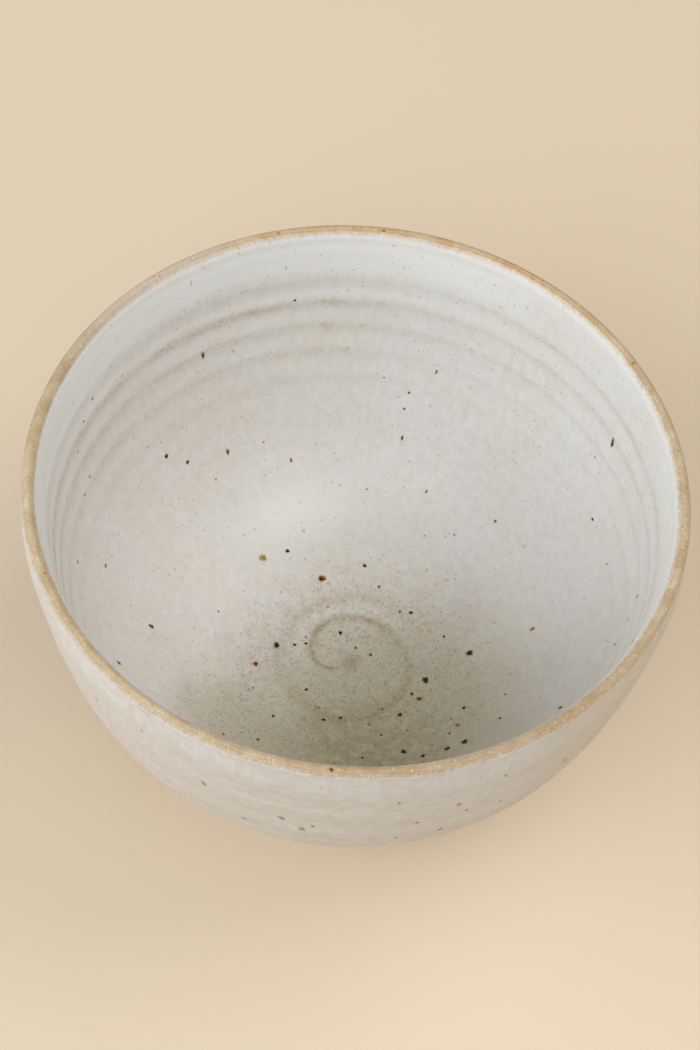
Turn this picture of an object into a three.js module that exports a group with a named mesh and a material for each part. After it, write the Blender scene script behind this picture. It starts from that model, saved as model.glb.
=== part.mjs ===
// A wheel-thrown stoneware bowl: one fired clay body with a satin glaze coat inside,
// another outside and a third in the foot recess. The top of the lip and the foot are bare clay.
// Millimetres, +Z up. The origin is on the table, at the centre of the foot ring.

import * as THREE from 'three';

// Driving dimensions of the clay body
const RIM_DIAMETER = 160; // across the outside of the lip
const BOWL_HEIGHT = 97; // from the table to the top of the lip
const LIP_WIDTH = 3.3; // across the rounded lip
const LIP_LEAN = 19; // degrees that the lip leans out of the upright
const LIP_TURN_OUT = 0.7; // how far the lip's inner edge stands out of the wall's own line
const LIP_TURN_DEPTH = 6; // how far below its edge that turn begins
const LIP_TAPER = 9; // length over which the lip thickens to the full wall
const WELL_DIAMETER = 132; // the round well, before the wall's flare is added to it
const WALL_THICKNESS = 5.2;
const FLOOR_THICKNESS = 6.2; // between the well and the roof of the foot recess
const OUT_OF_ROUND = 0.6; // how far the rim's radius grows and shrinks round the bowl
const LONG_AXIS_ANGLE = -45; // degrees from +X to the longest diameter of the rim

// Driving dimensions of the foot
const FOOT_DIAMETER = 74;
const FOOT_RING_WIDTH = 6; // width of the ring, with its rounded edges
const FOOT_RECESS_DEPTH = 3.5; // from the table to the roof of the recess
const FOOT_EDGE = 0.8; // bevel on both edges of the ring's bearing face
const FOOT_FILLET = 3; // where the wall runs into the foot
const RECESS_FILLET = 1.2; // where the ring runs into the recess roof

// Driving dimensions of the glaze
const GLAZE_THICKNESS = 0.45;
const GLAZE_FEATHER = 1.5; // length over which an edge of the glaze thins to nothing
const GLAZE_UP_LIP_INSIDE = 0.7; // how far the glaze climbs over the lip's curve from the inside
const GLAZE_UP_LIP_OUTSIDE = 1.9; // how far it climbs over the lip's curve from the outside
const BARE_ABOVE_FOOT = 2; // bare wall between the foot's fillet and the glaze
const BARE_IN_RECESS = 2.5; // bare roof between the ring's fillet and the glaze

// Throwing marks: a helix of soft rings on the wall and a spiral in the well
const RING_PITCH = 8.4;
const RING_HEIGHT = 0.25; // how far a ring stands above the smooth wall
const RING_SWAY = 0.6; // how far the rings lie off an even climb, on the +X and -X sides
const FIRST_RING = 14; // length down the wall from the lip to the first ring, on the +X side
const RINGS_END = 54; // length down the wall where the rings have died out
const RINGS_FADE = 17; // length over which they die out
const SPIRAL_INNER_RADIUS = 5;
const SPIRAL_OUTER_RADIUS = 19.5;
const SPIRAL_TURNS = 1.35;
const SPIRAL_START_ANGLE = 208; // degrees from +X to the inner end of the spiral
const SPIRAL_OFF_AXIS = 1.9; // how far its centre lies from the bowl's axis, towards +X
const SPIRAL_LINE_WIDTH = 3.2;
const SPIRAL_HEIGHT = 0.35; // how far the line stands above the floor of the well

// Fineness of the solids
const SEGMENTS = 40; // steps round the bowl
const LIP_STEPS = 4; // steps over the bare top of the lip
const FILLET_STEPS = 3;
const RING_ROW_STEP = 2.8; // spacing of the rows that carry the throwing rings
const WALL_ROW_STEP = 7; // spacing of the rows on the smooth wall
const SPIRAL_ROW_STEP = 1.6; // spacing of the rows that carry the spiral
const CURVE_STEPS = 2000; // accuracy of the lengths measured along the inside
const SEARCH_HALVINGS = 40; // accuracy of the place where the wall meets the foot

const FULL_TURN = 2 * Math.PI;
const radians = THREE.MathUtils.degToRad;

// Sizes worked out from the driving dimensions
const rimRadius = RIM_DIAMETER / 2;
const footRadius = FOOT_DIAMETER / 2;
const wellRadius = WELL_DIAMETER / 2;
const lipRadius = LIP_WIDTH / 2;
const floorTop = FOOT_RECESS_DEPTH + FLOOR_THICKNESS;

// The lip is half a circle. lipAcross points through it from the inside to the outside.
const lipCentre = new THREE.Vector2(rimRadius - lipRadius, BOWL_HEIGHT - lipRadius);
const lipAcross = new THREE.Vector2(Math.cos(radians(LIP_LEAN)), -Math.sin(radians(LIP_LEAN)));
const lipInnerEdge = lipCentre.clone().addScaledVector(lipAcross, -lipRadius);
const lipOuterAngle = -radians(LIP_LEAN);
const lipInnerAngle = lipOuterAngle + Math.PI;
const insideDepth = lipInnerEdge.y - floorTop;
const wallFlare = lipInnerEdge.x - LIP_TURN_OUT - wellRadius;

// The finished inside of the bowl as radius and height, from the lip to the middle of the well:
// a full round well, with a flare that widens it evenly up to the rim.
class InsideCurve extends THREE.Curve {
  getPoint(share, target = new THREE.Vector2()) {
    const swing = (Math.PI / 2) * share * share;
    const drop = Math.sqrt(Math.sin(swing));
    const turnOut = Math.max(0, 1 - (drop * insideDepth) / LIP_TURN_DEPTH);
    const radius = wellRadius * Math.cos(swing) + wallFlare * (1 - drop) + LIP_TURN_OUT * turnOut ** 2;
    return target.set(radius, lipInnerEdge.y - drop * insideDepth);
  }
}

const inside = new InsideCurve();
inside.arcLengthDivisions = CURVE_STEPS;
const insideLength = inside.getLength();

// A row of an outline: a place as radius and height, and the way that throwing marks raise it.
function plainRow(radius, height) {
  return { place: new THREE.Vector2(radius, height), raise: new THREE.Vector2() };
}

// A row on the lip's half circle, at an angle from the level outward side and pushed in towards its centre
function lipRow(around, push) {
  const reach = lipRadius - push;
  return plainRow(lipCentre.x + reach * Math.cos(around), lipCentre.y + reach * Math.sin(around));
}

// The row a given length down the inside and pushed a given depth into the wall
function wallRow(down, push) {
  const share = Math.min(down / insideLength, 1);
  const point = inside.getPointAt(share);
  const along = inside.getTangentAt(share);
  return plainRow(point.x - along.y * push, point.y + along.x * push);
}

// A row of the inside, a given length below the lip's inner edge, or above it where that is negative.
// The throwing marks stand up out of it.
function insideRow(down, push) {
  if (down < 0) return lipRow(lipInnerAngle + down / lipRadius, push);
  const row = wallRow(down, push);
  const along = inside.getTangentAt(down / insideLength);
  row.down = down;
  row.raise.set(along.y, -along.x);
  return row;
}

// Lengths from one place to another, evenly spaced at about the given step.
function spaced(from, to, step) {
  const count = Math.max(1, Math.round((to - from) / step));
  return Array.from({ length: count }, (_, i) => from + ((to - from) * i) / count);
}

// How thick the finished wall is, a given length below the lip
function wallThickness(down) {
  const taper = Math.max(0, 1 - down / LIP_TAPER);
  return WALL_THICKNESS - (WALL_THICKNESS - LIP_WIDTH) * taper ** 2;
}

// A row of the outside, a given length below the lip's outer edge, or above it where that is negative
function outsideRow(down, push) {
  if (down < 0) return lipRow(lipOuterAngle - down / lipRadius, push);
  return wallRow(down, wallThickness(down) - push);
}

// The length down the inside at which the outside of the wall has shrunk to a given radius
function downAtOuterRadius(radius) {
  let above = 0;
  let below = insideLength;
  for (let halving = 0; halving < SEARCH_HALVINGS; halving += 1) {
    const middle = (above + below) / 2;
    if (outsideRow(middle, 0).place.x > radius) above = middle;
    else below = middle;
  }
  return above;
}

// The share of a glaze coat's full thickness, a given length in from its edge
function feathered(length) {
  return THREE.MathUtils.clamp(length / GLAZE_FEATHER, 0, 1);
}

// The soft rings that the fingers leave, a helix that climbs one pitch in a turn
function ringHeight(down, angle) {
  const level = down - FIRST_RING + RING_SWAY * Math.cos(angle);
  const phase = (FULL_TURN * level) / RING_PITCH + angle;
  const fadeIn = THREE.MathUtils.smoothstep(down, FIRST_RING - RING_PITCH, FIRST_RING);
  const fadeOut = 1 - THREE.MathUtils.smoothstep(down, RINGS_END - RINGS_FADE, RINGS_END);
  return (RING_HEIGHT / 2) * fadeIn * fadeOut * (1 + Math.cos(phase));
}

// The ridge that winds out from the middle of the well, at a place given from the bowl's axis
function spiralHeight(x, y) {
  let height = 0;
  const radius = Math.hypot(x - SPIRAL_OFF_AXIS, y);
  const angle = Math.atan2(y, x - SPIRAL_OFF_AXIS);
  const fromStart = THREE.MathUtils.euclideanModulo(radians(SPIRAL_START_ANGLE) - angle, FULL_TURN);
  for (let wound = fromStart; wound <= SPIRAL_TURNS * FULL_TURN; wound += FULL_TURN) {
    const grown = wound / (SPIRAL_TURNS * FULL_TURN);
    const line = THREE.MathUtils.lerp(SPIRAL_INNER_RADIUS, SPIRAL_OUTER_RADIUS, grown);
    const aside = (radius - line) / (SPIRAL_LINE_WIDTH / 2);
    height = Math.max(height, SPIRAL_HEIGHT * Math.exp(-aside * aside));
  }
  return height;
}

// Turns an outline once round the axis, raises its marked rows and draws the bowl out of round.
function turned(outline) {
  const shape = new THREE.LatheGeometry(outline.map((row) => row.place), SEGMENTS);
  shape.rotateX(Math.PI / 2);
  const position = shape.getAttribute('position');
  for (let i = 0; i < position.count; i += 1) {
    const row = outline[i % outline.length];
    const angle = Math.atan2(position.getY(i), position.getX(i));
    const marked = row.down !== undefined;
    const mark = marked ? ringHeight(row.down, angle) + spiralHeight(position.getX(i), position.getY(i)) : 0;
    const height = row.place.y + mark * row.raise.y;
    const upTheWall = Math.max(0, height - floorTop) / (BOWL_HEIGHT - floorTop);
    const stretch = Math.cos(2 * (angle - radians(LONG_AXIS_ANGLE)));
    const oval = 1 + (OUT_OF_ROUND / rimRadius) * upTheWall * stretch;
    const radius = (row.place.x + mark * row.raise.x) * oval;
    position.setXYZ(i, radius * Math.cos(angle), radius * Math.sin(angle), height);
  }
  shape.computeVertexNormals();
  return shape;
}

// Turns a shape's faces over, so that what was its inside is its outside.
function facesTurnedOver(shape) {
  const index = shape.getIndex();
  for (let i = 0; i < index.count; i += 3) {
    const first = index.getX(i);
    index.setX(i, index.getX(i + 2));
    index.setX(i + 2, first);
  }
  shape.computeVertexNormals();
  return shape;
}

// Where the rows lie on the inside and on the outside, as lengths below the lip's edges
const ascending = (first, second) => first - second;
const glazeTop = -GLAZE_UP_LIP_INSIDE;
const glazeFull = glazeTop + GLAZE_FEATHER;
const spiralTop = insideLength - SPIRAL_OUTER_RADIUS - SPIRAL_LINE_WIDTH - SPIRAL_OFF_AXIS;
const insideRows = [
  glazeTop,
  0,
  ...spaced(glazeFull, RINGS_END, RING_ROW_STEP),
  ...spaced(RINGS_END, spiralTop, WALL_ROW_STEP),
  ...spaced(spiralTop, insideLength, SPIRAL_ROW_STEP),
].sort(ascending);
const footJoin = downAtOuterRadius(footRadius + FOOT_FILLET);
const outerGlazeTop = -GLAZE_UP_LIP_OUTSIDE;
const outerGlazeFull = outerGlazeTop + GLAZE_FEATHER;
const outerGlazeEnd = footJoin - BARE_ABOVE_FOOT;
const outsideRows = [
  outerGlazeTop,
  outerGlazeFull,
  ...spaced(0, outerGlazeEnd - GLAZE_FEATHER, WALL_ROW_STEP),
  outerGlazeEnd - GLAZE_FEATHER,
  outerGlazeEnd,
].sort(ascending);

// The finished inside surface and the clay that lies under its glaze
const insideFace = insideRows.map((down) => insideRow(down, 0));
const insideClay = insideRows.map((down) => insideRow(down, GLAZE_THICKNESS * feathered(down - glazeTop)));
insideFace.push(plainRow(0, floorTop));
insideClay.push(plainRow(0, floorTop - GLAZE_THICKNESS));

// The finished outside surface and the clay that lies under its glaze
const outsideFace = outsideRows.map((down) => outsideRow(down, 0));
const outsideClay = outsideRows.map((down) => {
  const fromEdge = Math.min(down - outerGlazeTop, outerGlazeEnd - down);
  return outsideRow(down, GLAZE_THICKNESS * feathered(fromEdge));
});

// The recess roof: bare next to the ring, then glazed to the middle
const ringInside = footRadius - FOOT_RING_WIDTH;
const recessGlazeEdge = ringInside - RECESS_FILLET - BARE_IN_RECESS;
const recessGlazeFull = recessGlazeEdge - GLAZE_FEATHER;
const recessClay = [
  plainRow(0, FOOT_RECESS_DEPTH + GLAZE_THICKNESS),
  plainRow(recessGlazeFull, FOOT_RECESS_DEPTH + GLAZE_THICKNESS),
  plainRow(recessGlazeEdge, FOOT_RECESS_DEPTH),
];
const recessFace = [
  plainRow(0, FOOT_RECESS_DEPTH),
  plainRow(recessGlazeFull, FOOT_RECESS_DEPTH),
  plainRow(recessGlazeEdge, FOOT_RECESS_DEPTH),
];

// The foot ring, from the recess round its bearing face to the fillet under the wall
function footRing() {
  const joint = outsideRow(footJoin, 0).place;
  const corner = outsideRow(downAtOuterRadius(footRadius), 0).place;
  const filletStart = new THREE.Vector2(footRadius, corner.y - FOOT_FILLET);
  const fillet = new THREE.QuadraticBezierCurve(filletStart, corner, joint);
  return [
    plainRow(ringInside - RECESS_FILLET, FOOT_RECESS_DEPTH),
    plainRow(ringInside, FOOT_RECESS_DEPTH - RECESS_FILLET),
    plainRow(ringInside, FOOT_EDGE),
    plainRow(ringInside + FOOT_EDGE, 0),
    plainRow(footRadius - FOOT_EDGE, 0),
    plainRow(footRadius, FOOT_EDGE),
    ...fillet.getPoints(FILLET_STEPS).map((point) => plainRow(point.x, point.y)),
  ];
}

// The bare top of the lip, between the glaze that climbs it from the outside and from the inside
function bareLip() {
  const from = lipOuterAngle + GLAZE_UP_LIP_OUTSIDE / lipRadius;
  const to = lipInnerAngle - GLAZE_UP_LIP_INSIDE / lipRadius;
  const rows = [];
  for (let step = 1; step < LIP_STEPS; step += 1) {
    rows.push(lipRow(THREE.MathUtils.lerp(from, to, step / LIP_STEPS), 0));
  }
  return rows;
}

const clayFinish = new THREE.MeshStandardMaterial({ color: '#b59a74', roughness: 0.85, metalness: 0 });
const innerFinish = new THREE.MeshStandardMaterial({ color: '#d5d4d0', roughness: 0.45, metalness: 0 });
const outerFinish = new THREE.MeshStandardMaterial({ color: '#dcd4cc', roughness: 0.5, metalness: 0 });
const recessFinish = new THREE.MeshStandardMaterial({ color: '#d8d3ca', roughness: 0.5, metalness: 0 });

const bowl = new THREE.Group();

function addPiece(name, shape, finish) {
  const piece = new THREE.Mesh(shape, finish);
  piece.name = name;
  bowl.add(piece);
}

// A coat of glaze runs out along the clay that carries it and back along its own face. It keeps
// the clay's order of rows, so both have the same triangles where they meet, turned over here.
function addCoat(name, clayRows, faceRows, finish) {
  addPiece(name, facesTurnedOver(turned([...clayRows, ...faceRows.toReversed()])), finish);
}

// The clay's outline climbs on the outside and comes down on the inside, so its faces point out.
const outsideClayUp = outsideClay.toReversed();
const outsideFaceUp = outsideFace.toReversed();
const clayOutline = [...recessClay, ...footRing(), ...outsideClayUp, ...bareLip(), ...insideClay];
addPiece('clay_body', turned(clayOutline), clayFinish);
addCoat('inner_glaze', insideClay, insideFace, innerFinish);
addCoat('outer_glaze', outsideClayUp, outsideFaceUp, outerFinish);
addCoat('recess_glaze', recessClay, recessFace, recessFinish);

export default bowl;
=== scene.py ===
# A wheel-thrown stoneware bowl with a speckled satin glaze: its surfaces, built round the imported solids.
# Sizes are in millimetres and angles in degrees. A mesh is put into metres when it is made.

import math
from collections import namedtuple

import bpy
import numpy as np
from mathutils import Matrix, Vector
from mathutils.bvhtree import BVHTree


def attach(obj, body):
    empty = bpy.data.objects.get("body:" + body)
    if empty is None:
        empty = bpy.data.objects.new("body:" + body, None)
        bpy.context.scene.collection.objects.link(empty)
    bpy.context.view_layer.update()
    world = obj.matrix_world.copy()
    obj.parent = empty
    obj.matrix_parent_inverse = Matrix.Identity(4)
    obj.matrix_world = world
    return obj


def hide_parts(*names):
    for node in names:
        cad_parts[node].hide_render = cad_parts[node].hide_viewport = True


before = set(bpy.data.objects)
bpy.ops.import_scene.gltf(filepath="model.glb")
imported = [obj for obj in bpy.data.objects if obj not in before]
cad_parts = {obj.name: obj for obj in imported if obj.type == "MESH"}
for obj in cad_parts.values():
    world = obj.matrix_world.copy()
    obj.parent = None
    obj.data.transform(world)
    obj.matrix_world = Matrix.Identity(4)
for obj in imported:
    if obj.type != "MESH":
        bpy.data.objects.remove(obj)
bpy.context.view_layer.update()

MM = 0.001
FULL_TURN = 2 * math.pi
QUARTER_TURN = math.pi / 2
TINY = 1e-9

# The clay body, with the same sizes as its solids
RIM_DIAMETER = 160
BOWL_HEIGHT = 97
LIP_WIDTH = 3.3
LIP_LEAN = 19
LIP_TURN_OUT = 0.7
LIP_TURN_DEPTH = 6
LIP_TAPER = 9
WELL_DIAMETER = 132
WALL_THICKNESS = 5.2
FLOOR_THICKNESS = 6.2
OUT_OF_ROUND = 0.6
LONG_AXIS_ANGLE = -45
FOOT_DIAMETER = 74
FOOT_RING_WIDTH = 6
FOOT_RECESS_DEPTH = 3.5
FOOT_EDGE = 0.8
FOOT_FILLET = 3
RECESS_FILLET = 1.2
GLAZE_THICKNESS = 0.45
GLAZE_FEATHER = 1.5
GLAZE_UP_LIP_INSIDE = 0.7
GLAZE_UP_LIP_OUTSIDE = 1.9
BARE_ABOVE_FOOT = 2
BARE_IN_RECESS = 2.5

# Random draws: the seed, and a key for each use of it
RANDOM_SEED = 20
INSIDE_SCATTER_KEY = 51
OUTSIDE_SCATTER_KEY = 52
LENS_KEY = 53
# Uneven lines round the bowl, by their key and their fewest and most waves
Uneven = namedtuple("Uneven", "key fewest most")
INNER_EDGE_LINE = Uneven(1, 5, 60)
OUTER_EDGE_LINE = Uneven(2, 5, 60)
FOOT_EDGE_LINE = Uneven(3, 2, 24)
RECESS_EDGE_LINE = Uneven(4, 2, 20)
FOOT_TRIM_LINE = Uneven(5, 3, 50)
RING_LINE = Uneven(6, 5, 40)
BAND_LINE = Uneven(7, 2, 12)

# Throwing rings: ridges on the inside wall, wound as a helix whose pitch grows on the way down
FIRST_RING = 16.2  # length below the lip of the first ridge, on the +X side
RING_PITCH = 7.95
RING_PITCH_GROWTH = 0.125  # half of what each turn adds to the pitch
RING_SWAY = 1.03  # how far the ridges stray from an even climb, once a turn
RING_WAVE = 0.7  # the same, twice a turn
RING_HEIGHT = 0.1
RINGS_RISE = (6, 14)  # lengths below the lip between which the ridges grow to their height
RINGS_SINK = (40, 60)
RING_EDGE_ABOVE = 0.2  # half width of a ridge on its upper side, as a share of the pitch
RING_EDGE_BELOW = 0.34
# Length below the lip, and how far the glaze breaks to tan on a ridge there
RING_BREAK_RIGHT = [(8, 0), (12, 0.15), (15, 0.26), (22, 0.21), (31, 0.14), (40, 0.08), (49, 0.05), (60, 0)]
RING_BREAK_LEFT = [
    (8, 0), (12, 0.14), (16, 0.25), (20, 0.43), (23, 0.43), (31, 0.24), (40, 0.16), (49, 0.08), (60, 0),
]
RING_SIDES_MEET = 0.4  # cosine of the angle up to which right and left blend
RING_NARROWER = 0.3  # how much narrower the ridges are on the +X side
RING_NARROWS = (-0.2, 0.7)  # cosines of the angles between which they narrow
RING_UNEVENNESS = 0.35
VALLEY_WHITENESS = 0.45  # how much whiter the glaze lies between ridges, as a share of the ridge's tan

# The spiral that the thumb leaves in the well, wound clockwise from its inner end
SPIRAL_CENTRE = (1.7, 0.3)
SPIRAL_START_ANGLE = 215
# Degrees wound, and the distance from the centre
SPIRAL_PATH = [
    (0, 4.3), (22, 8.4), (54, 11.5), (95, 13.3), (150, 13.3), (196, 14.4), (234, 16.5),
    (270, 17.8), (310, 19.1), (345, 18.4), (385, 19.4), (440, 18.7), (500, 18.5), (540, 19.3),
]
# Degrees wound, and how far the glaze breaks to tan there
SPIRAL_BREAK = [
    (0, 0.82), (25, 0.9), (90, 0.82), (150, 0.66), (185, 0.36), (215, 0.28), (245, 0.38),
    (320, 0.38), (350, 0.25), (400, 0.28), (440, 0.4), (490, 0.32), (540, 0),
]
# Degrees wound, and the width of the line
SPIRAL_WIDTH = [(0, 2.0), (60, 2.0), (165, 1.9), (240, 2.3), (330, 2.3), (390, 3.2), (540, 3.5)]
HALF_STRENGTH = 0.6  # half width of a mark at half its strength, turned into the width that bump takes
SPIRAL_HEIGHT = 0.18
SPIRAL_KNOB_RADIUS = 2.6  # the small mound in the middle
SPIRAL_KNOB_BREAK = 0.72
TROUGH_ASIDE = 2.9  # the whiter trough outside the first turn of the line
TROUGH_WIDTH = 2.0
TROUGH_WHITENESS = 0.45
TROUGH_STARTS = (10, 40)  # degrees wound
TROUGH_ENDS = (140, 175)
WELL_MARKS_FADE = (45, 30)  # lengths from the middle between which the well's marks come in

# The roll of thick white glaze just under the lip; its whiteness is partly painted light, where the rounded
# top of the inside faces up
ROLL_DOWN = 0.8
ROLL_WIDTH = 1.1
ROLL_HEIGHT = 0.08
ROLL_WHITENESS_AND_LIGHT = 0.28
# Degrees round the bowl, and how white the thicker glaze is there between the roll and the first ring
COLLAR_WHITENESS = [
    (0, 0.25), (20, 0.1), (50, 0.05), (70, 0.3), (90, 0.5), (115, 0.4), (140, 0.35), (165, 0.55),
    (185, 0.55), (205, 0.3), (360, 0.25),
]
COLLAR_STARTS = (1, 4)  # lengths below the lip
COLLAR_ENDS = (9, 13)

# Painted light and shade: places painted whiter where more light falls, the first a painted highlight low on
# the far left, or painted tan and darker as shade where the whiteness is below nothing
LightAndShadePlace = namedtuple("LightAndShadePlace", "down angle height spread whiteness")
PAINTED_LIGHT_AND_SHADE_PLACES = [
    LightAndShadePlace(86, 113, 10, 26, 0.42),
    LightAndShadePlace(11, 162, 11, 26, 0.3),
    LightAndShadePlace(14, 88, 9, 32, 0.2),
    LightAndShadePlace(52, -15, 16, 17, -0.15),
    LightAndShadePlace(74, 56, 14, 24, -0.1),
    LightAndShadePlace(60, 130, 14, 26, -0.07),
]
# A paler place in the well, left of the spiral
WELL_PALE_X = -18
WELL_PALE_Y = 11
WELL_PALE_REACH = 15
WELL_PALE_WHITENESS = 0.13

# The edges of the coats
LIP_WANDER = 0.22  # how far the glaze's edge strays on the lip
FOOT_WANDER = 0.5
RECESS_WANDER = 0.5
WANDER_REACH = 2.5  # length over which the rows below an edge follow it
FOOT_WANDER_REACH = 7.5
RECESS_WANDER_REACH = 6
EDGE_SHOWS = 2.0  # length over which the clay shows through the glaze at the lip
FOOT_EDGE_SHOWS = 2.5
RECESS_EDGE_SHOWS = 2
LOWER_EDGE_BREAK = 0.5  # how far the glaze breaks to tan at its edges above the foot and in the recess
# Degrees round the bowl, and how far the inner coat's edge lies below its usual place on the lip
INNER_EDGE_DRIFT = [
    (0, -0.75), (30, -0.65), (50, -0.8), (75, -0.6), (120, -0.65), (138, -0.35), (165, 0.15),
    (180, 0.25), (195, -0.05), (210, -0.35), (300, -0.55), (330, -0.9), (360, -0.75),
]
# The same for the outer coat
OUTER_EDGE_DRIFT = [
    (0, -0.5), (60, -0.4), (85, 0.5), (165, 0.6), (190, -0.3), (205, -0.55), (335, -0.55), (360, -0.5),
]

# Faint waves in the outer coat, and soft bands where it lies thicker or thinner
OUTER_WAVE_PITCH = 11
OUTER_WAVE_SWAY = 0.8
OUTER_WAVE_HEIGHT = 0.06
OUTER_WAVES_RISE = (4, 16)  # lengths below the lip
OUTER_WAVES_SINK = (12, 2)  # lengths above the coat's end
WIDE_BAND_PITCH = 13
WIDE_BAND_SWAY = 0.9
NARROW_BAND_PITCH = 4.7
NARROW_BAND_SWAY = 1.3
NARROW_BAND_SHARE = 0.6
BAND_STRENGTH = 0.8
BAND_UNEVENNESS = 0.4
BAND_BREAK = 0.09
BANDS_RISE = (3, 8)  # lengths below the lip

# Fine lines left by the trimming tool, in the recess and round the foot
RECESS_LINE_PITCH = 2.6
RECESS_LINES_FADE = 3
FOOT_LINE_PITCH = 1.7
FOOT_LINE_UNEVENNESS = 0.3
FOOT_LINES_FADE = 0.2
TRIM_LINE_HEIGHT = 0.05

# Fineness of the meshes
SEGMENTS = 360
CURVE_STEPS = 4001
SEARCH_HALVINGS = 40
EDGE_STEP = 0.2  # spacing of the rows at an edge of the glaze
LESSER_EDGE_STEP = 0.4
BACK_EDGE_STEP = 0.8
FINE_STEP = 0.5  # spacing of the rows that carry throwing marks
COLLAR_STEP = 0.6
WALL_STEP = 1.2
HIDDEN_STEP = 5
RECESS_STEP = 0.3
FOOT_CURVE_POINTS = 13
LIP_ROWS = 16
AXIS_ROW = 1  # distance of the last row from the axis
EDGE_ROWS_END = 2  # length below the lip down to which rows follow the edge of a coat
COLLAR_ROWS_START = 3
RING_ROWS_START = 11
RING_ROWS_END = 60
WELL_ROWS_START = 104
FOOT_ROWS = 3  # length of the finer rows at the outer coat's end
LIP_BACK_ROWS = [1, 0]
LIP_BACK_EDGE = 0.9  # distance of the last row of the outer coat's back from its edge
RECESS_BED_EDGE = 0.9  # the same for the recess coat, and how much shallower its bed is there
RECESS_BED_RISE = 0.05

# Sizes worked out from those above
RIM_RADIUS = RIM_DIAMETER / 2
FOOT_RADIUS = FOOT_DIAMETER / 2
WELL_RADIUS = WELL_DIAMETER / 2
LIP_RADIUS = LIP_WIDTH / 2
FLOOR_TOP = FOOT_RECESS_DEPTH + FLOOR_THICKNESS
RECESS_BED = FOOT_RECESS_DEPTH + GLAZE_THICKNESS
LIP_CENTRE_RADIUS = RIM_RADIUS - LIP_RADIUS
LIP_CENTRE_HEIGHT = BOWL_HEIGHT - LIP_RADIUS
LIP_OUTER_ANGLE = -math.radians(LIP_LEAN)
LIP_INNER_ANGLE = LIP_OUTER_ANGLE + math.pi
INSIDE_TOP_RADIUS = LIP_CENTRE_RADIUS + LIP_RADIUS * math.cos(LIP_INNER_ANGLE)
INSIDE_TOP_HEIGHT = LIP_CENTRE_HEIGHT + LIP_RADIUS * math.sin(LIP_INNER_ANGLE)
INSIDE_DEPTH = INSIDE_TOP_HEIGHT - FLOOR_TOP
WALL_FLARE = INSIDE_TOP_RADIUS - LIP_TURN_OUT - WELL_RADIUS

# Places on a turned surface: radius and height, and the way that the surface faces
Lattice = namedtuple("Lattice", "radius height across up")


def smooth(low, high, value):
    """Rises from 0 at low to 1 at high, with soft ends."""
    share = np.clip((value - low) / (high - low), 0, 1)
    return share * share * (3 - 2 * share)


def between(start, end, value):
    """Rises from 0 to 1 through the start, and falls to 0 again through the end."""
    return smooth(*start, value) * (1 - smooth(*end, value))


def bump(offset, width):
    """1 in the middle of a mark, falling to nothing at about twice its width."""
    return np.exp(-(offset / width) ** 2)


def through(points, at):
    """A smooth line through listed points, read at the given places."""
    places, values = np.array(points, float).T
    slopes = np.gradient(values, places)
    index = np.clip(np.searchsorted(places, at) - 1, 0, len(places) - 2)
    span = places[index + 1] - places[index]
    share = np.clip((at - places[index]) / span, 0, 1)
    rest = 1 - share
    start = values[index] * (1 + 2 * share) * rest**2
    end = values[index + 1] * (1 + 2 * rest) * share**2
    bend = (slopes[index] * rest - slopes[index + 1] * share) * share * rest * span
    return start + end + bend


def read_line(points, at):
    """Straight lines between listed points, read at the given places."""
    places, values = np.array(points, float).T
    return np.interp(at, places, values)


def wander(angle, line):
    """An uneven line round the bowl, between about -1 and 1."""
    chance = np.random.default_rng([RANDOM_SEED, line.key])
    total = np.zeros_like(angle)
    for waves in range(line.fewest, line.most + 1):
        size = chance.normal() / math.sqrt(waves)
        total += size * np.cos(waves * angle + chance.uniform(0, FULL_TURN))
    return total / max(np.abs(total).max(), TINY)


def wound_wave(level, pitch, angle, sway=0):
    """A wave between -1 and 1 that winds round the bowl as a thread of the given pitch."""
    return np.cos(FULL_TURN * level / pitch + angle + sway)


# The shape of the bowl

def inside_curve():
    """Length below the lip, radius and height of many points down the finished inside."""
    share = np.linspace(0, 1, CURVE_STEPS)
    swing = QUARTER_TURN * share**2
    drop = np.sqrt(np.sin(swing))
    turn_out = np.maximum(0, 1 - drop * INSIDE_DEPTH / LIP_TURN_DEPTH)
    radius = WELL_RADIUS * np.cos(swing) + WALL_FLARE * (1 - drop) + LIP_TURN_OUT * turn_out**2
    height = INSIDE_TOP_HEIGHT - drop * INSIDE_DEPTH
    steps = np.hypot(np.diff(radius), np.diff(height))
    return np.concatenate([[0], np.cumsum(steps)]), radius, height


curve_length, curve_radius, curve_height = inside_curve()
curve_lean = np.gradient(curve_radius, curve_length)
curve_fall = np.gradient(curve_height, curve_length)
INSIDE_LENGTH = curve_length[-1]


def lip_place(around, push):
    """A place on the lip's half circle, pushed in towards its centre."""
    reach = LIP_RADIUS - push
    across = np.cos(around)
    up = np.sin(around)
    return Lattice(LIP_CENTRE_RADIUS + reach * across, LIP_CENTRE_HEIGHT + reach * up, across, up)


def wall_place(down, push):
    """A place a length below the lip and a depth into the wall, facing the hollow of the bowl."""
    lean = np.interp(down, curve_length, curve_lean)
    fall = np.interp(down, curve_length, curve_fall)
    radius = np.interp(down, curve_length, curve_radius) - fall * push
    height = np.interp(down, curve_length, curve_height) + lean * push
    return Lattice(radius, height, fall, -lean)


def either(choice, first, second):
    """Takes the places of the first lattice where choice is true, and else of the second."""
    return Lattice(*(np.where(choice, one, other) for one, other in zip(first, second)))


def inside_place(down, push):
    """A place on the inside; a negative length lies over the lip."""
    return either(down < 0, lip_place(LIP_INNER_ANGLE + down / LIP_RADIUS, push), wall_place(down, push))


def wall_thickness(down):
    taper = np.maximum(0, 1 - down / LIP_TAPER)
    return WALL_THICKNESS - (WALL_THICKNESS - LIP_WIDTH) * taper**2


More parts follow.
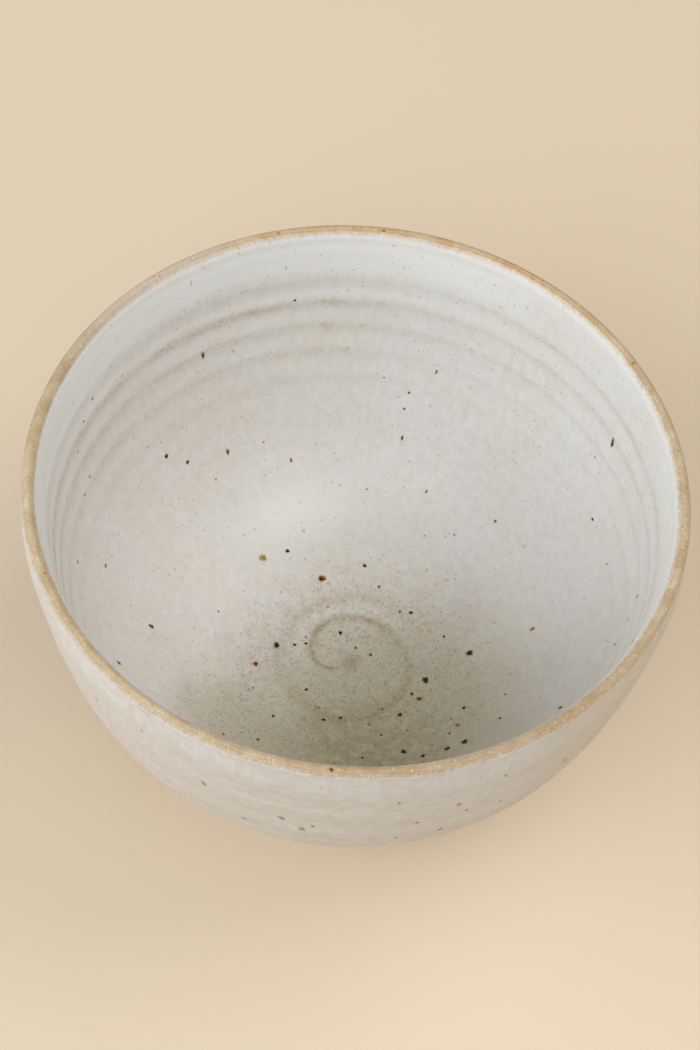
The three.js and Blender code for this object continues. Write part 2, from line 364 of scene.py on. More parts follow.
def outside_place(down, push):
    """A place on the outside, facing out; a negative length lies over the lip."""
    wall = wall_place(down, wall_thickness(down) - push)
    wall = wall._replace(across=-wall.across, up=-wall.up)
    return either(down < 0, lip_place(LIP_OUTER_ANGLE - down / LIP_RADIUS, push), wall)


def down_at_outer_radius(radius):
    """The length below the lip at which the outside has shrunk to a radius."""
    above = 0.0
    below = INSIDE_LENGTH
    for _ in range(SEARCH_HALVINGS):
        middle = (above + below) / 2
        if outside_place(middle, 0).radius > radius:
            above = middle
        else:
            below = middle
    return above


FOOT_JOIN = down_at_outer_radius(FOOT_RADIUS + FOOT_FILLET)
INNER_GLAZE_TOP = -GLAZE_UP_LIP_INSIDE
OUTER_GLAZE_TOP = -GLAZE_UP_LIP_OUTSIDE
OUTER_GLAZE_END = FOOT_JOIN - BARE_ABOVE_FOOT
OUTER_FEATHER_ROWS = [OUTER_GLAZE_END - GLAZE_FEATHER / 2, OUTER_GLAZE_END - GLAZE_FEATHER]
RING_INSIDE = FOOT_RADIUS - FOOT_RING_WIDTH
RECESS_GLAZE_EDGE = RING_INSIDE - RECESS_FILLET - BARE_IN_RECESS

angles = np.arange(SEGMENTS) * FULL_TURN / SEGMENTS


def stretch(start, end, step):
    """Evenly spaced places from start up to, but not including, end."""
    count = max(1, round((end - start) / step))
    return list(np.linspace(start, end, count, endpoint=False))


def ring_offset(down, angle):
    """How far a place lies below the nearest ridge of the throwing helix, in turns."""
    level = down + RING_SWAY * np.cos(angle) + RING_WAVE * np.cos(2 * angle) - FIRST_RING
    room = RING_PITCH**2 + 4 * RING_PITCH_GROWTH * level
    turns = (np.sqrt(np.maximum(room, 0)) - RING_PITCH) / (2 * RING_PITCH_GROWTH) + angle / FULL_TURN
    return turns - np.round(turns)


def ring_ridge(down, angle):
    """1 on a ridge, 0 between the ridges; the upper side of a ridge is the sharper one."""
    offset = ring_offset(down, angle)
    narrower = 1 - RING_NARROWER * smooth(*RING_NARROWS, np.cos(angle))
    return bump(offset, narrower * np.where(offset < 0, RING_EDGE_ABOVE, RING_EDGE_BELOW))


def ring_strength(down, angle):
    """How far the glaze breaks to tan on a ridge; the left and right of the bowl differ."""
    right = read_line(RING_BREAK_RIGHT, down)
    left = read_line(RING_BREAK_LEFT, down)
    leftness = smooth(-RING_SIDES_MEET, RING_SIDES_MEET, -np.cos(angle))
    return (right + (left - right) * leftness) * (1 + RING_UNEVENNESS * wander(angle, RING_LINE))


def spiral_line(x, y):
    """How strongly the thumb's line with its mound, and the trough beside it, show at a place in the well."""
    x = x - SPIRAL_CENTRE[0]
    y = y - SPIRAL_CENTRE[1]
    reach = np.hypot(x, y)
    from_start = np.mod(math.radians(SPIRAL_START_ANGLE) - np.arctan2(y, x), FULL_TURN)
    line = SPIRAL_KNOB_BREAK * bump(reach, SPIRAL_KNOB_RADIUS)
    for turn in (1, 0):
        wound = np.degrees(from_start + turn * FULL_TURN)
        aside = reach - through(SPIRAL_PATH, wound)
        width = HALF_STRENGTH * read_line(SPIRAL_WIDTH, wound)
        line = np.maximum(line, read_line(SPIRAL_BREAK, wound) * bump(aside, width))
    # The trough lies beside the first turn, which the loop comes to last
    return line, between(TROUGH_STARTS, TROUGH_ENDS, wound) * bump(aside - TROUGH_ASIDE, TROUGH_WIDTH)


# Meshes turned round the axis

def spread(rows):
    """The rows' lengths and the angles, as two tables with a row of places for each length."""
    return np.meshgrid(np.array(rows, float), angles, indexing="ij")


def lifted(lattice, lift):
    return lattice._replace(
        radius=lattice.radius + lift * lattice.across,
        height=lattice.height + lift * lattice.up,
    )


def points_of(lattice, angle):
    """The lattice's places in the bowl's frame, with the bowl drawn out of round."""
    up_the_wall = np.maximum(0, lattice.height - FLOOR_TOP) / (BOWL_HEIGHT - FLOOR_TOP)
    lengthened = np.cos(2 * (angle - math.radians(LONG_AXIS_ANGLE)))
    radius = lattice.radius * (1 + OUT_OF_ROUND / RIM_RADIUS * up_the_wall * lengthened)
    return np.stack([radius * np.cos(angle), radius * np.sin(angle), lattice.height], -1)


def ring_faces(first, second):
    """The quads between two rows of vertices."""
    index = np.arange(SEGMENTS)
    after = (index + 1) % SEGMENTS
    return np.stack([first + index, first + after, second + after, second + index], -1).tolist()


def fan_faces(pole, row, turned_over):
    """The triangles between a row of vertices and a vertex on the axis."""
    index = np.arange(SEGMENTS)
    after = (index + 1) % SEGMENTS
    order = [after, index] if turned_over else [index, after]
    return np.stack([np.full(SEGMENTS, pole), row + order[0], row + order[1]], -1).tolist()


def new_piece(name, vertices, faces, marks):
    """An object with a mesh in metres, whose vertices carry named marks for its material to read."""
    mesh = bpy.data.meshes.new(name)
    mesh.from_pydata(vertices, [], faces)
    for mark, values in marks.items():
        attribute = mesh.attributes.new(mark, "FLOAT", "POINT")
        attribute.data.foreach_set("value", np.array(values, np.float32))
    mesh.shade_smooth()
    mesh.update()
    piece = bpy.data.objects.new(name, mesh)
    bpy.context.scene.collection.objects.link(piece)
    return piece


def turned_piece(name, points, poles=None, **marks):
    """A closed mesh of rows of points. It starts and ends on the axis, or its last row meets its first."""
    vertices = points.reshape(-1, 3)
    last = len(vertices) - SEGMENTS
    faces = []
    for row in range(0, last, SEGMENTS):
        faces += ring_faces(row, row + SEGMENTS)
    if poles is None:
        faces += ring_faces(last, 0)
    else:
        faces += fan_faces(len(vertices), 0, True) + fan_faces(len(vertices) + 1, last, False)
        vertices = np.concatenate([vertices, poles])
    return new_piece(name, (vertices * MM).tolist(), faces, {mark: marks[mark].ravel() for mark in marks})


def disc_piece(name, face, back, poles, faces_down=False, **marks):
    """A coat that closes at its edge: its face runs in to the axis, and its back runs out again."""
    rows = len(face) + len(back)
    vertices = np.concatenate([face.reshape(-1, 3), back.reshape(-1, 3), poles])
    faces = []
    for row in range(rows - 1):
        if row != len(face) - 1:
            faces += ring_faces(row * SEGMENTS, (row + 1) * SEGMENTS)
    faces += ring_faces((rows - 1) * SEGMENTS, 0)
    faces += fan_faces(rows * SEGMENTS, (len(face) - 1) * SEGMENTS, False)
    faces += fan_faces(rows * SEGMENTS + 1, len(face) * SEGMENTS, True)
    if faces_down:
        faces = [corners[::-1] for corners in faces]
    on_back = np.zeros(len(back) * SEGMENTS)
    whole = {}
    for mark, values in marks.items():
        whole[mark] = np.concatenate([values.ravel(), on_back, [values[-1].mean(), 0]])
    return new_piece(name, (vertices * MM).tolist(), faces, whole)


def inner_shift(down, angle):
    """How far a row near the inner coat's edge follows it as it strays on the lip."""
    stray = read_line(INNER_EDGE_DRIFT, np.degrees(angle)) + LIP_WANDER * wander(angle, INNER_EDGE_LINE)
    return stray * (1 - smooth(0, WANDER_REACH, down - INNER_GLAZE_TOP))


def outer_shift(down, angle):
    """The same for the outer coat, at the lip and above the foot."""
    drift = read_line(OUTER_EDGE_DRIFT, np.degrees(angle))
    top_stray = drift + LIP_WANDER * wander(angle, OUTER_EDGE_LINE)
    end_stray = FOOT_WANDER * wander(angle, FOOT_EDGE_LINE)
    near_top = 1 - smooth(0, WANDER_REACH, down - OUTER_GLAZE_TOP)
    above_end = (OUTER_GLAZE_END - FOOT_WANDER_REACH, OUTER_GLAZE_END)
    near_end = between(above_end, (OUTER_GLAZE_END, FOOT_JOIN), down)
    return top_stray * near_top + end_stray * near_end


def inner_bed(down, angle):
    """Places in the bed under the inner coat, which comes up to the surface at the coat's edge."""
    depth = GLAZE_THICKNESS * np.clip((down - INNER_GLAZE_TOP) / GLAZE_FEATHER, 0, 1)
    return inside_place(down + inner_shift(down, angle), depth)


def outer_bed(down, angle):
    """The same for the outer coat, with its two edges."""
    from_edge = np.minimum(down - OUTER_GLAZE_TOP, OUTER_GLAZE_END - down)
    depth = GLAZE_THICKNESS * np.clip(from_edge / GLAZE_FEATHER, 0, 1)
    return outside_place(down + outer_shift(down, angle), depth)


def inside_marks(down, angle):
    """How far the glaze stands out of the plain inside, and how thin it lies there; the thinness also carries
    painted light and shade.
    """
    radius = inside_place(down, 0).radius
    x = radius * np.cos(angle)
    y = radius * np.sin(angle)
    ridge = ring_ridge(down, angle)
    line, trough = spiral_line(x, y)
    in_well = smooth(INSIDE_LENGTH - WELL_MARKS_FADE[0], INSIDE_LENGTH - WELL_MARKS_FADE[1], down)
    roll = bump(down - ROLL_DOWN, ROLL_WIDTH)
    lift = RING_HEIGHT * ridge * between(RINGS_RISE, RINGS_SINK, down)
    lift = lift + SPIRAL_HEIGHT * line * in_well + ROLL_HEIGHT * roll
    # Ridges break to tan; the roll under the lip is whiter, partly as painted light
    thin = ring_strength(down, angle) * (ridge - VALLEY_WHITENESS * (1 - ridge)) - ROLL_WHITENESS_AND_LIGHT * roll
    thin = thin + (line - TROUGH_WHITENESS * trough) * in_well
    collar = read_line(COLLAR_WHITENESS, np.mod(np.degrees(angle), 360))
    thin = thin - collar * between(COLLAR_STARTS, COLLAR_ENDS, down)
    # Painted light and shade, carried in the thinness
    for pale in PAINTED_LIGHT_AND_SHADE_PLACES:
        aside = np.mod(np.degrees(angle) - pale.angle + 180, 360) - 180
        thin = thin - pale.whiteness * bump(down - pale.down, pale.height) * bump(aside, pale.spread)
    from_pale = np.hypot(x - WELL_PALE_X, y - WELL_PALE_Y)
    thin = thin - WELL_PALE_WHITENESS * bump(from_pale, WELL_PALE_REACH) * in_well
    return lift, thin


def inner_glaze():
    edge = INNER_GLAZE_TOP
    rows = stretch(edge, COLLAR_ROWS_START, EDGE_STEP)
    rows += stretch(COLLAR_ROWS_START, RING_ROWS_START, COLLAR_STEP)
    rows += stretch(RING_ROWS_START, RING_ROWS_END, FINE_STEP)
    rows += stretch(RING_ROWS_END, WELL_ROWS_START, WALL_STEP)
    rows += stretch(WELL_ROWS_START, INSIDE_LENGTH, FINE_STEP)
    level, angle = spread(rows)
    down = level + inner_shift(level, angle)
    lift, thin = inside_marks(down, angle)
    edge_thin = 1 - smooth(0, EDGE_SHOWS, level - edge)
    face = lifted(inside_place(down, 0), lift * (1 - edge_thin))
    hidden = stretch(HIDDEN_STEP, INSIDE_LENGTH - EDGE_ROWS_END, HIDDEN_STEP)
    back_rows = [INSIDE_LENGTH - reach for reach in hidden]
    back_rows += stretch(EDGE_ROWS_END, edge, -BACK_EDGE_STEP)
    back_down, back_angle = spread(back_rows)
    return disc_piece(
        "inner_glaze_coat",
        points_of(face, angle),
        points_of(inner_bed(back_down, back_angle), back_angle),
        [(0, 0, FLOOR_TOP), (0, 0, FLOOR_TOP - GLAZE_THICKNESS)],
        thin=thin,
        edge=edge_thin,
    )


def outer_bands(down, angle):
    """Soft uneven bands round the outside, where the glaze lies thicker or thinner."""
    wide = wound_wave(down, WIDE_BAND_PITCH, -angle, WIDE_BAND_SWAY * np.sin(angle))
    narrow = wound_wave(down, NARROW_BAND_PITCH, angle, NARROW_BAND_SWAY * np.cos(2 * angle))
    strength = BAND_STRENGTH + BAND_UNEVENNESS * wander(angle, BAND_LINE)
    return (wide + NARROW_BAND_SHARE * narrow) * strength


def outer_glaze():
    top = OUTER_GLAZE_TOP
    end = OUTER_GLAZE_END
    rows = stretch(top, EDGE_ROWS_END, EDGE_STEP)
    rows += stretch(EDGE_ROWS_END, end - FOOT_ROWS, WALL_STEP)
    rows += stretch(end - FOOT_ROWS, end, LESSER_EDGE_STEP) + [end]
    down, angle = spread(rows)
    waves = wound_wave(down, OUTER_WAVE_PITCH, angle, OUTER_WAVE_SWAY * np.sin(2 * angle))
    sink = [end - above for above in OUTER_WAVES_SINK]
    lift = OUTER_WAVE_HEIGHT * waves * between(OUTER_WAVES_RISE, sink, down)
    face = lifted(outside_place(down + outer_shift(down, angle), 0), lift)
    top_thin = 1 - smooth(0, EDGE_SHOWS, down - top)
    end_thin = smooth(end - FOOT_EDGE_SHOWS, end, down)
    bands = BAND_BREAK * outer_bands(down, angle) * smooth(*BANDS_RISE, down)
    back_rows = OUTER_FEATHER_ROWS + stretch(end - HIDDEN_STEP, EDGE_ROWS_END, -HIDDEN_STEP)
    back_rows += LIP_BACK_ROWS + [top + LIP_BACK_EDGE]
    back_down, back_angle = spread(back_rows)
    back = outer_bed(back_down, back_angle)
    points = np.concatenate([points_of(face, angle), points_of(back, back_angle)])
    on_back = np.zeros_like(back_down)
    thin = np.concatenate([LOWER_EDGE_BREAK * end_thin + bands, on_back])
    edge = np.concatenate([np.maximum(top_thin, end_thin), on_back])
    # The rows run down the outside, so they are reversed to face out.
    return turned_piece("outer_glaze_coat", points[::-1], thin=thin[::-1], edge=edge[::-1])


def recess_glaze():
    edge = RECESS_GLAZE_EDGE
    reach, angle = spread(stretch(edge, AXIS_ROW, -FINE_STEP) + [AXIS_ROW])
    near_edge = smooth(edge - RECESS_WANDER_REACH, edge, reach)
    stray = RECESS_WANDER * wander(angle, RECESS_EDGE_LINE) * near_edge
    lines = wound_wave(reach, RECESS_LINE_PITCH, angle) * smooth(0, RECESS_LINES_FADE, edge - reach)
    face = Lattice(reach + stray, FOOT_RECESS_DEPTH + TRIM_LINE_HEIGHT * lines, None, None)
    back_reach, back_angle = spread([AXIS_ROW, edge / 2, edge - GLAZE_FEATHER])
    back = Lattice(back_reach, np.full_like(back_reach, RECESS_BED), None, None)
    thin = 1 - smooth(0, RECESS_EDGE_SHOWS, edge - reach)
    return disc_piece(
        "recess_glaze_coat",
        points_of(face, angle),
        points_of(back, back_angle),
        [(0, 0, FOOT_RECESS_DEPTH), (0, 0, RECESS_BED)],
        faces_down=True,
        thin=thin * LOWER_EDGE_BREAK,
        edge=thin,
    )


def foot_outline():
    """The foot ring from the recess roof round its bearing face to the wall, as radius and height."""
    joint = outside_place(FOOT_JOIN, 0)
    corner = outside_place(down_at_outer_radius(FOOT_RADIUS), 0)
    start_height = corner.height - FOOT_FILLET
    share = np.linspace(0, 1, FOOT_CURVE_POINTS)
    going = 1 - np.sin(share * QUARTER_TURN)
    coming = 1 - np.cos(share * QUARTER_TURN)
    first = (1 - share) ** 2
    second = 2 * share * (1 - share)
    third = share**2
    fillet_radius = FOOT_RADIUS * first + corner.radius * second + joint.radius * third
    fillet_height = start_height * first + corner.height * second + joint.height * third
    recess_side = stretch(FOOT_RECESS_DEPTH - RECESS_FILLET, FOOT_EDGE, -RECESS_STEP)[1:]
    bearing = stretch(RING_INSIDE + FOOT_EDGE, FOOT_RADIUS - FOOT_EDGE, LESSER_EDGE_STEP)[1:]
    outer_side = stretch(FOOT_EDGE, start_height, LESSER_EDGE_STEP)[1:]
    outline = list(zip(RING_INSIDE - RECESS_FILLET * going, FOOT_RECESS_DEPTH - RECESS_FILLET * coming))
    outline += [(RING_INSIDE, height) for height in recess_side]
    outline += zip(RING_INSIDE + FOOT_EDGE * coming, FOOT_EDGE * going)
    outline += [(reach, 0) for reach in bearing]
    outline += zip(FOOT_RADIUS - FOOT_EDGE * going, FOOT_EDGE * coming)
    outline += [(FOOT_RADIUS, height) for height in outer_side]
    outline += zip(fillet_radius, fillet_height)
    return outline


def clay_bottom():
    """The clay from the axis of the recess round the foot to the wall, with its trimming lines."""
    roof = [(AXIS_ROW, RECESS_BED), (RECESS_GLAZE_EDGE - GLAZE_FEATHER, RECESS_BED)]
    roof.append((RECESS_GLAZE_EDGE - RECESS_BED_EDGE, RECESS_BED - RECESS_BED_RISE))
    bare = stretch(RECESS_GLAZE_EDGE, RING_INSIDE - RECESS_FILLET, LESSER_EDGE_STEP)
    outline = roof + [(reach, FOOT_RECESS_DEPTH) for reach in bare] + foot_outline()
    radius, angle = spread([reach for reach, _ in outline])
    height, _ = spread([level for _, level in outline])
    on_side = smooth(FOOT_RADIUS - FOOT_LINES_FADE, FOOT_RADIUS, radius) * (height > FOOT_EDGE)
    lines = wound_wave(height, FOOT_LINE_PITCH, angle)
    lines = lines + FOOT_LINE_UNEVENNESS * wander(angle, FOOT_TRIM_LINE)
    return points_of(Lattice(radius + TRIM_LINE_HEIGHT * lines * on_side, height, None, None), angle)


def clay_body():
    outer_rows = stretch(FOOT_JOIN, OUTER_GLAZE_END, -LESSER_EDGE_STEP)[1:]
    outer_rows += [OUTER_GLAZE_END] + OUTER_FEATHER_ROWS
    outer_rows += stretch(OUTER_GLAZE_END - HIDDEN_STEP, EDGE_ROWS_END, -HIDDEN_STEP)
    outer_rows += stretch(EDGE_ROWS_END, OUTER_GLAZE_TOP, -LESSER_EDGE_STEP)
    outer_down, outer_angle = spread(outer_rows)
    share, lip_angle = spread(np.linspace(0, 1, LIP_ROWS))
    lip_from = OUTER_GLAZE_TOP + outer_shift(OUTER_GLAZE_TOP, lip_angle)
    lip_to = INNER_GLAZE_TOP + inner_shift(INNER_GLAZE_TOP, lip_angle)
    around_from = LIP_OUTER_ANGLE - lip_from / LIP_RADIUS
    around_to = LIP_INNER_ANGLE + lip_to / LIP_RADIUS
    lip = lip_place(around_from + (around_to - around_from) * share, 0)
    inner_end = INSIDE_LENGTH - AXIS_ROW
    inner_rows = stretch(INNER_GLAZE_TOP, EDGE_ROWS_END, LESSER_EDGE_STEP)[1:]
    inner_rows += stretch(EDGE_ROWS_END, inner_end, HIDDEN_STEP) + [inner_end]
    inner_down, inner_angle = spread(inner_rows)
    points = np.concatenate([
        clay_bottom(),
        points_of(outer_bed(outer_down, outer_angle), outer_angle),
        points_of(lip, lip_angle),
        points_of(inner_bed(inner_down, inner_angle), inner_angle),
    ])
    poles = [(0, 0, RECESS_BED), (0, 0, FLOOR_TOP - GLAZE_THICKNESS)]
    return turned_piece("clay_body_turned", points, poles)


# Colours, given as they show on a screen

SCREEN_WHITE = 255
# The screen's tone curve: a straight foot and then a power
CURVE_FOOT = 0.04045
CURVE_FOOT_SLOPE = 12.92
CURVE_OFFSET = 0.055
CURVE_POWER = 2.4


def tint(red, green, blue):
    """A colour from 0 to 255 in the linear values that shaders take."""
    linear = []
    for part in (red, green, blue):
        shown = part / SCREEN_WHITE
        curved = ((shown + CURVE_OFFSET) / (1 + CURVE_OFFSET)) ** CURVE_POWER
        linear.append(shown / CURVE_FOOT_SLOPE if shown <= CURVE_FOOT else curved)
    return (*linear, 1.0)


GLAZE_COOL = tint(214, 212, 210)
GLAZE_WARM = tint(213, 210, 204)
# White of thick glaze, also used for painted light
GLAZE_THICK_AND_LIT = tint(222, 221, 218)
GLAZE_BROKEN = tint(166, 148, 114)
OUTER_COOL = tint(198, 196, 195)
OUTER_WARM = tint(195, 192, 189)
# Warm tint for painted bounce light and shade on the outside
OUTER_BOUNCE_TINT = tint(196, 184, 164)
EDGE_BROWN = tint(160, 132, 86)
# Olive of the glaze pooled in the well, darkened as painted shade too
WELL_OLIVE_AND_SHADE = tint(151, 141, 104)
WELL_PALE = tint(194, 188, 166)
WELL_TAN = tint(142, 117, 70)
# Olive of the blots in the well, also used for painted shade there
BLOT_AND_SHADE_OLIVE = tint(132, 118, 72)
DUST_BROWN = tint(106, 92, 54)
DUST_GREY = tint(126, 117, 90)
FLECK_OCHRE = tint(172, 148, 82)
SPECK_BLACK = tint(44, 29, 16)
SPECK_DARK = tint(66, 48, 32)
SPECK_SOOT = tint(106, 82, 54)
SPECK_BROWN = tint(184, 126, 40)
SPECK_PIT = tint(94, 86, 78)
SPECK_RUST = tint(176, 146, 78)
SPECK_TAN = tint(196, 178, 130)
CLAY_PALE = tint(193, 174, 144)
CLAY_TOASTED = tint(176, 152, 117)
CLAY_DARK = tint(146, 118, 82)
CLAY_CREAM = tint(222, 206, 181)
CLAY_RUST = tint(152, 116, 74)
CLAY_FLASHED = tint(196, 148, 98)
CLAY_ASHY = tint(190, 175, 159)
FLOOR_TINT = tint(219, 201, 177)
FLOOR_TINT_WARM = tint(215, 196, 170)

# Blends: from least to most, while a value goes from start to end
Blend = namedtuple("Blend", "start end least most", defaults=[0.0, 1.0])
NOISE_MEAN = 0.5
# The clay, by its noise
CLAY_PATCHES = Blend(0.32, 0.68)
CLAY_GRAINS = Blend(0.48, 0.75, 0.0, 0.5)
CLAY_ROUGHNESS = Blend(0.3, 0.7, 0.62, 0.8)
FLASHED_PATCHES = Blend(0.3, 0.7, 0.2, 0.38)
# Sides of the bowl that are coloured apart, by the way they lie and the distance from the axis in metres; the
# kiln coloured the flashed and ashy sides
Side = namedtuple("Side", "way blend colour")
FLASHED_SIDE = Side((0.17, 0.985, 0.0), Blend(0.045, 0.07), CLAY_FLASHED)
CLAY_SIDES = [
    Side((-0.707, 0.707, 0.0), Blend(0.07, 0.079, 0.0, 0.75), CLAY_ASHY),
    # The clay is darker towards the near right and towards the left
    Side((0.5, -0.866, 0.0), Blend(0.058, 0.08, 0.0, 0.36), CLAY_DARK),
    Side((-0.951, 0.309, 0.0), Blend(0.075, 0.0795, 0.0, 0.28), CLAY_DARK),
]
# Painted warm bounce light and shade on the outer coat's right side
OUTER_BOUNCE_SIDE = Side((0.94, -0.342, 0.0), Blend(0.062, 0.08, 0.0, 0.7), OUTER_BOUNCE_TINT)
# The specks, by how rusty they are and how near the middle
DARK_PATCHINESS = Blend(0.0, 0.3, 0.3, 1.1)
OCHRE_PATCHINESS = Blend(0.6, 1.0, 1.0, 0.3)
CORE_UNEVENNESS = Blend(0.3, 0.7, 0.8, 1.2)
CORE_SHINE = Blend(0.3, 0.6, 0.5, 0.1)
HALO_BROWNS = Blend(0.05, 0.3)
HALO_PALES = Blend(0.5, 0.95)
HALO_SHARE = Blend(0.05, 0.3, 0.35, 0.8)
OCHRE_HALO = Blend(0.6, 1.0, 1.0, 0.6)
HALO_EDGE = Blend(0.2, 0.5)
MIDDLE_RUSTS = Blend(0.2, 1.0)
MIDDLE_SHARE = Blend(0.6, 1.0, 1.0, 0.32)
MIDDLE_EDGE = Blend(0.46, 0.6)
PIT_EDGE = Blend(0.75, 0.95)
PIT_SHARE = Blend(0.1, 0.0, 0.0, 0.3)
# The glaze, by its noise or its thinness
CLOUDS = Blend(0.38, 0.62)
RUNS = Blend(0.45, 0.75, 0.0, 0.1)
RUN_STRETCH = (1.0, 1.0, 0.1)  # how the noise of the runs is drawn out down the wall
FINE_GRAINS = Blend(0.5, 0.8, 0.0, 0.16)
MOTTLING = Blend(0.35, 0.65)
# Whiter where the glaze is thick, and where painted light is carried in the thinness
THICK_AND_LIT_GLAZE = Blend(0.0, -0.5)
BREAK_FINE = Blend(0.3, 0.7, 0.5, 1.3)
BREAK_GRAIN = Blend(0.3, 0.7, 0.65, 1.35)
BREAK_PATCHES = Blend(0.35, 0.65, 0.78, 1.2)
GRIT = Blend(0.5, 0.75)
THIN_DUST = Blend(0.08, 0.5, 0.0, 0.6)
EDGE_DARKENS = Blend(0.99, 0.85, 0.0, 0.75)
RAGGED_EDGE = Blend(0.25, 1.1)
RAGGED_FINE = 1.1
RAGGED_GRAIN = 0.7
GLAZE_ROUGHNESS = Blend(0.3, 0.7, 0.38, 0.47)
# The glaze that has run together in the well, drawn towards the near wall and partly painted shade there, by
# the distance from a place, all in metres
POOL_AND_SHADE_CENTRE = (0.015, -0.025, FLOOR_TOP * MM)
POOL_AND_SHADE = Blend(0.062, 0.008)
NEAR_POOL_AND_SHADE_CENTRE = (-0.023, -0.031, 0.018)
NEAR_POOL_AND_SHADE = Blend(0.033, 0.008, 0.0, 0.75)
POOL_STRAY = 0.03
POOL_GRAINS = Blend(0.3, 0.7, 0.56, 0.82)
# Painted shade: the near side of the well darkened to olive, where the near wall shades it
NEAR_PAINTED_SHADE_CENTRE = (0.003, -0.040, 0.018)
NEAR_PAINTED_SHADE = Blend(0.036, 0.008, 0.0, 0.46)
WELL_MIDDLE = (0.004, -0.014, FLOOR_TOP * MM)
WELL_FLAT = Blend(0.053, 0.02)
PALE_PATCHES = Blend(0.42, 0.68, 0.0, 0.5)
OLIVE_PATCHES = Blend(0.48, 0.7, 0.0, 0.25)
# How much iron dust, how many flecks and how much grit the glaze holds, on the wall and in the well
Iron = namedtuple("Iron", "dust flecks grit")
WALL_IRON = Iron(dust=0.08, flecks=0.12, grit=0.08)
DUST_CLUSTERS = Blend(0.35, 0.65, 0.5, 1.4)
NEAR_POOL_DUST = 1.7
WELL_DUST = Blend(0.0, 1.0, 0.07, 0.95)
WELL_FLECKS = Blend(0.0, 1.0, 0.12, 0.85)
WELL_GRIT = Blend(0.0, 1.0, 0.08, 0.55)
# Round spots: the spacing of their cells, their least and greatest size, the share of cells that hold
# one, and how far they show. The share of the flecks comes from the glaze's iron.
Spots = namedtuple("Spots", "spacing smallest largest share strength")
CREAM_GRAINS = Spots(0.85, 0.25, 0.7, 0.6, 0.55)
RUSTY_GRAINS = Spots(1.45, 0.3, 0.9, 0.6, 0.5)
BLOTS = Spots(2.1, 0.5, 1.3, 0.8, 0.35)
DUST = Spots(0.62, 0.15, 0.36, 0.8, 0.5)
COARSE_DUST = Spots(1.1, 0.32, 0.8, 0.85, 0.45)
FLECKS = Spots(1.7, 0.3, 0.9, None, 0.55)
FAINT_SPECKS = Spots(2.6, 0.22, 0.5, 0.055, 0.38)
SPOT_CORE = 0.55  # where a spot has its full strength, as a share of its reach
# Relief and shine
GLAZE_RELIEF = 0.03
FINE_RELIEF = 0.4
CLAY_RELIEF = 0.06
CLAY_SPECK_SHARE = 0.8
FLOOR_ROUGHNESS = 0.8
Look = namedtuple("Look", "name cool warm pooled speck_share mottle")


# Materials

MIX_SHARE, MIX_FIRST, MIX_SECOND, MIX_RESULT = 0, 6, 7, 2  # sockets of a node that mixes colours


class Paint:
    """A material in the making. Each method adds shader nodes and hands over their result."""

    def __init__(self, name):
        self.material = bpy.data.materials.new(name)
        self.material.use_nodes = True
        self.tree = self.material.node_tree
        self.shader = self.tree.nodes["Principled BSDF"]
        self.where = self.put("TexCoord", {}).outputs["Object"]

    def put(self, kind, sockets, **properties):
        """Adds a node, sets its properties and fills or links its inputs."""
        node = self.tree.nodes.new("ShaderNode" + kind)
        for name, value in properties.items():
            setattr(node, name, value)
        for name, value in sockets.items():
            if isinstance(value, bpy.types.NodeSocket):
                self.tree.links.new(value, node.inputs[name])
            else:
                node.inputs[name].default_value = value
        return node

    def give(self, name, value):
        """Links a value to an input of the material's shader."""
        self.tree.links.new(value, self.shader.inputs[name])

    def calc(self, operation, first, second):
        return self.put("Math", {0: first, 1: second}, operation=operation).outputs[0]

    def product(self, first, second):
        return self.calc("MULTIPLY", first, second)

    def from_mean(self, pattern):
        return self.calc("SUBTRACT", pattern, NOISE_MEAN)

    def mixed(self, share, first, second):
        """The first colour, with a share of the second over it."""
        sockets = {MIX_SHARE: share, MIX_FIRST: first, MIX_SECOND: second}
        return self.put("Mix", sockets, data_type="RGBA").outputs[MIX_RESULT]

    def ranged(self, value, blend):
        sockets = {"Value": value, "From Min": blend.start, "From Max": blend.end}
        sockets |= {"To Min": blend.least, "To Max": blend.most}
        return self.put("MapRange", sockets, interpolation_type="SMOOTHSTEP").outputs["Result"]

    def distance(self, place):
        return self.put("VectorMath", {0: self.where, 1: place}, operation="DISTANCE").outputs["Value"]

    def sided(self, side):
        """How far a place lies out on a side, through the side's blend."""
        out = self.put("VectorMath", {0: self.where, 1: side.way}, operation="DOT_PRODUCT")
        return self.ranged(out.outputs["Value"], side.blend)

    def noise(self, size, detail=3.0, roughness=0.55, where=None):
        """Noise whose patches are about the given size in millimetres."""
        sockets = {"Vector": self.where if where is None else where, "Scale": 1 / (size * MM)}
        sockets |= {"Detail": detail, "Roughness": roughness}
        return self.put("TexNoise", sockets).outputs["Fac"]

    def mark(self, name):
        return self.put("Attribute", {}, attribute_name=name).outputs["Fac"]

    def spots(self, kind, share):
        """How strongly spots in a share of the cells show at a place, and a chance value for each spot."""
        cells = self.put("TexVoronoi", {"Vector": self.where, "Scale": 1 / (kind.spacing * MM)})
        chance = self.put("SeparateColor", {"Color": cells.outputs["Color"]})
        chosen = self.calc("LESS_THAN", chance.outputs["Red"], share)
        least = kind.smallest / kind.spacing / 2
        most = kind.largest / kind.spacing / 2
        reach = self.ranged(chance.outputs["Green"], Blend(0.0, 1.0, least, most))
        inside = self.ranged(cells.outputs["Distance"], Blend(reach, self.product(reach, SPOT_CORE)))
        return self.product(self.product(inside, chosen), kind.strength), chance.outputs["Blue"]

    def relief(self, height, depth):
        """A fine unevenness of the surface, with its depth in millimetres."""
        bumps = self.put("Bump", {"Strength": 1.0, "Distance": depth * MM, "Height": height})
        self.give("Normal", bumps.outputs["Normal"])


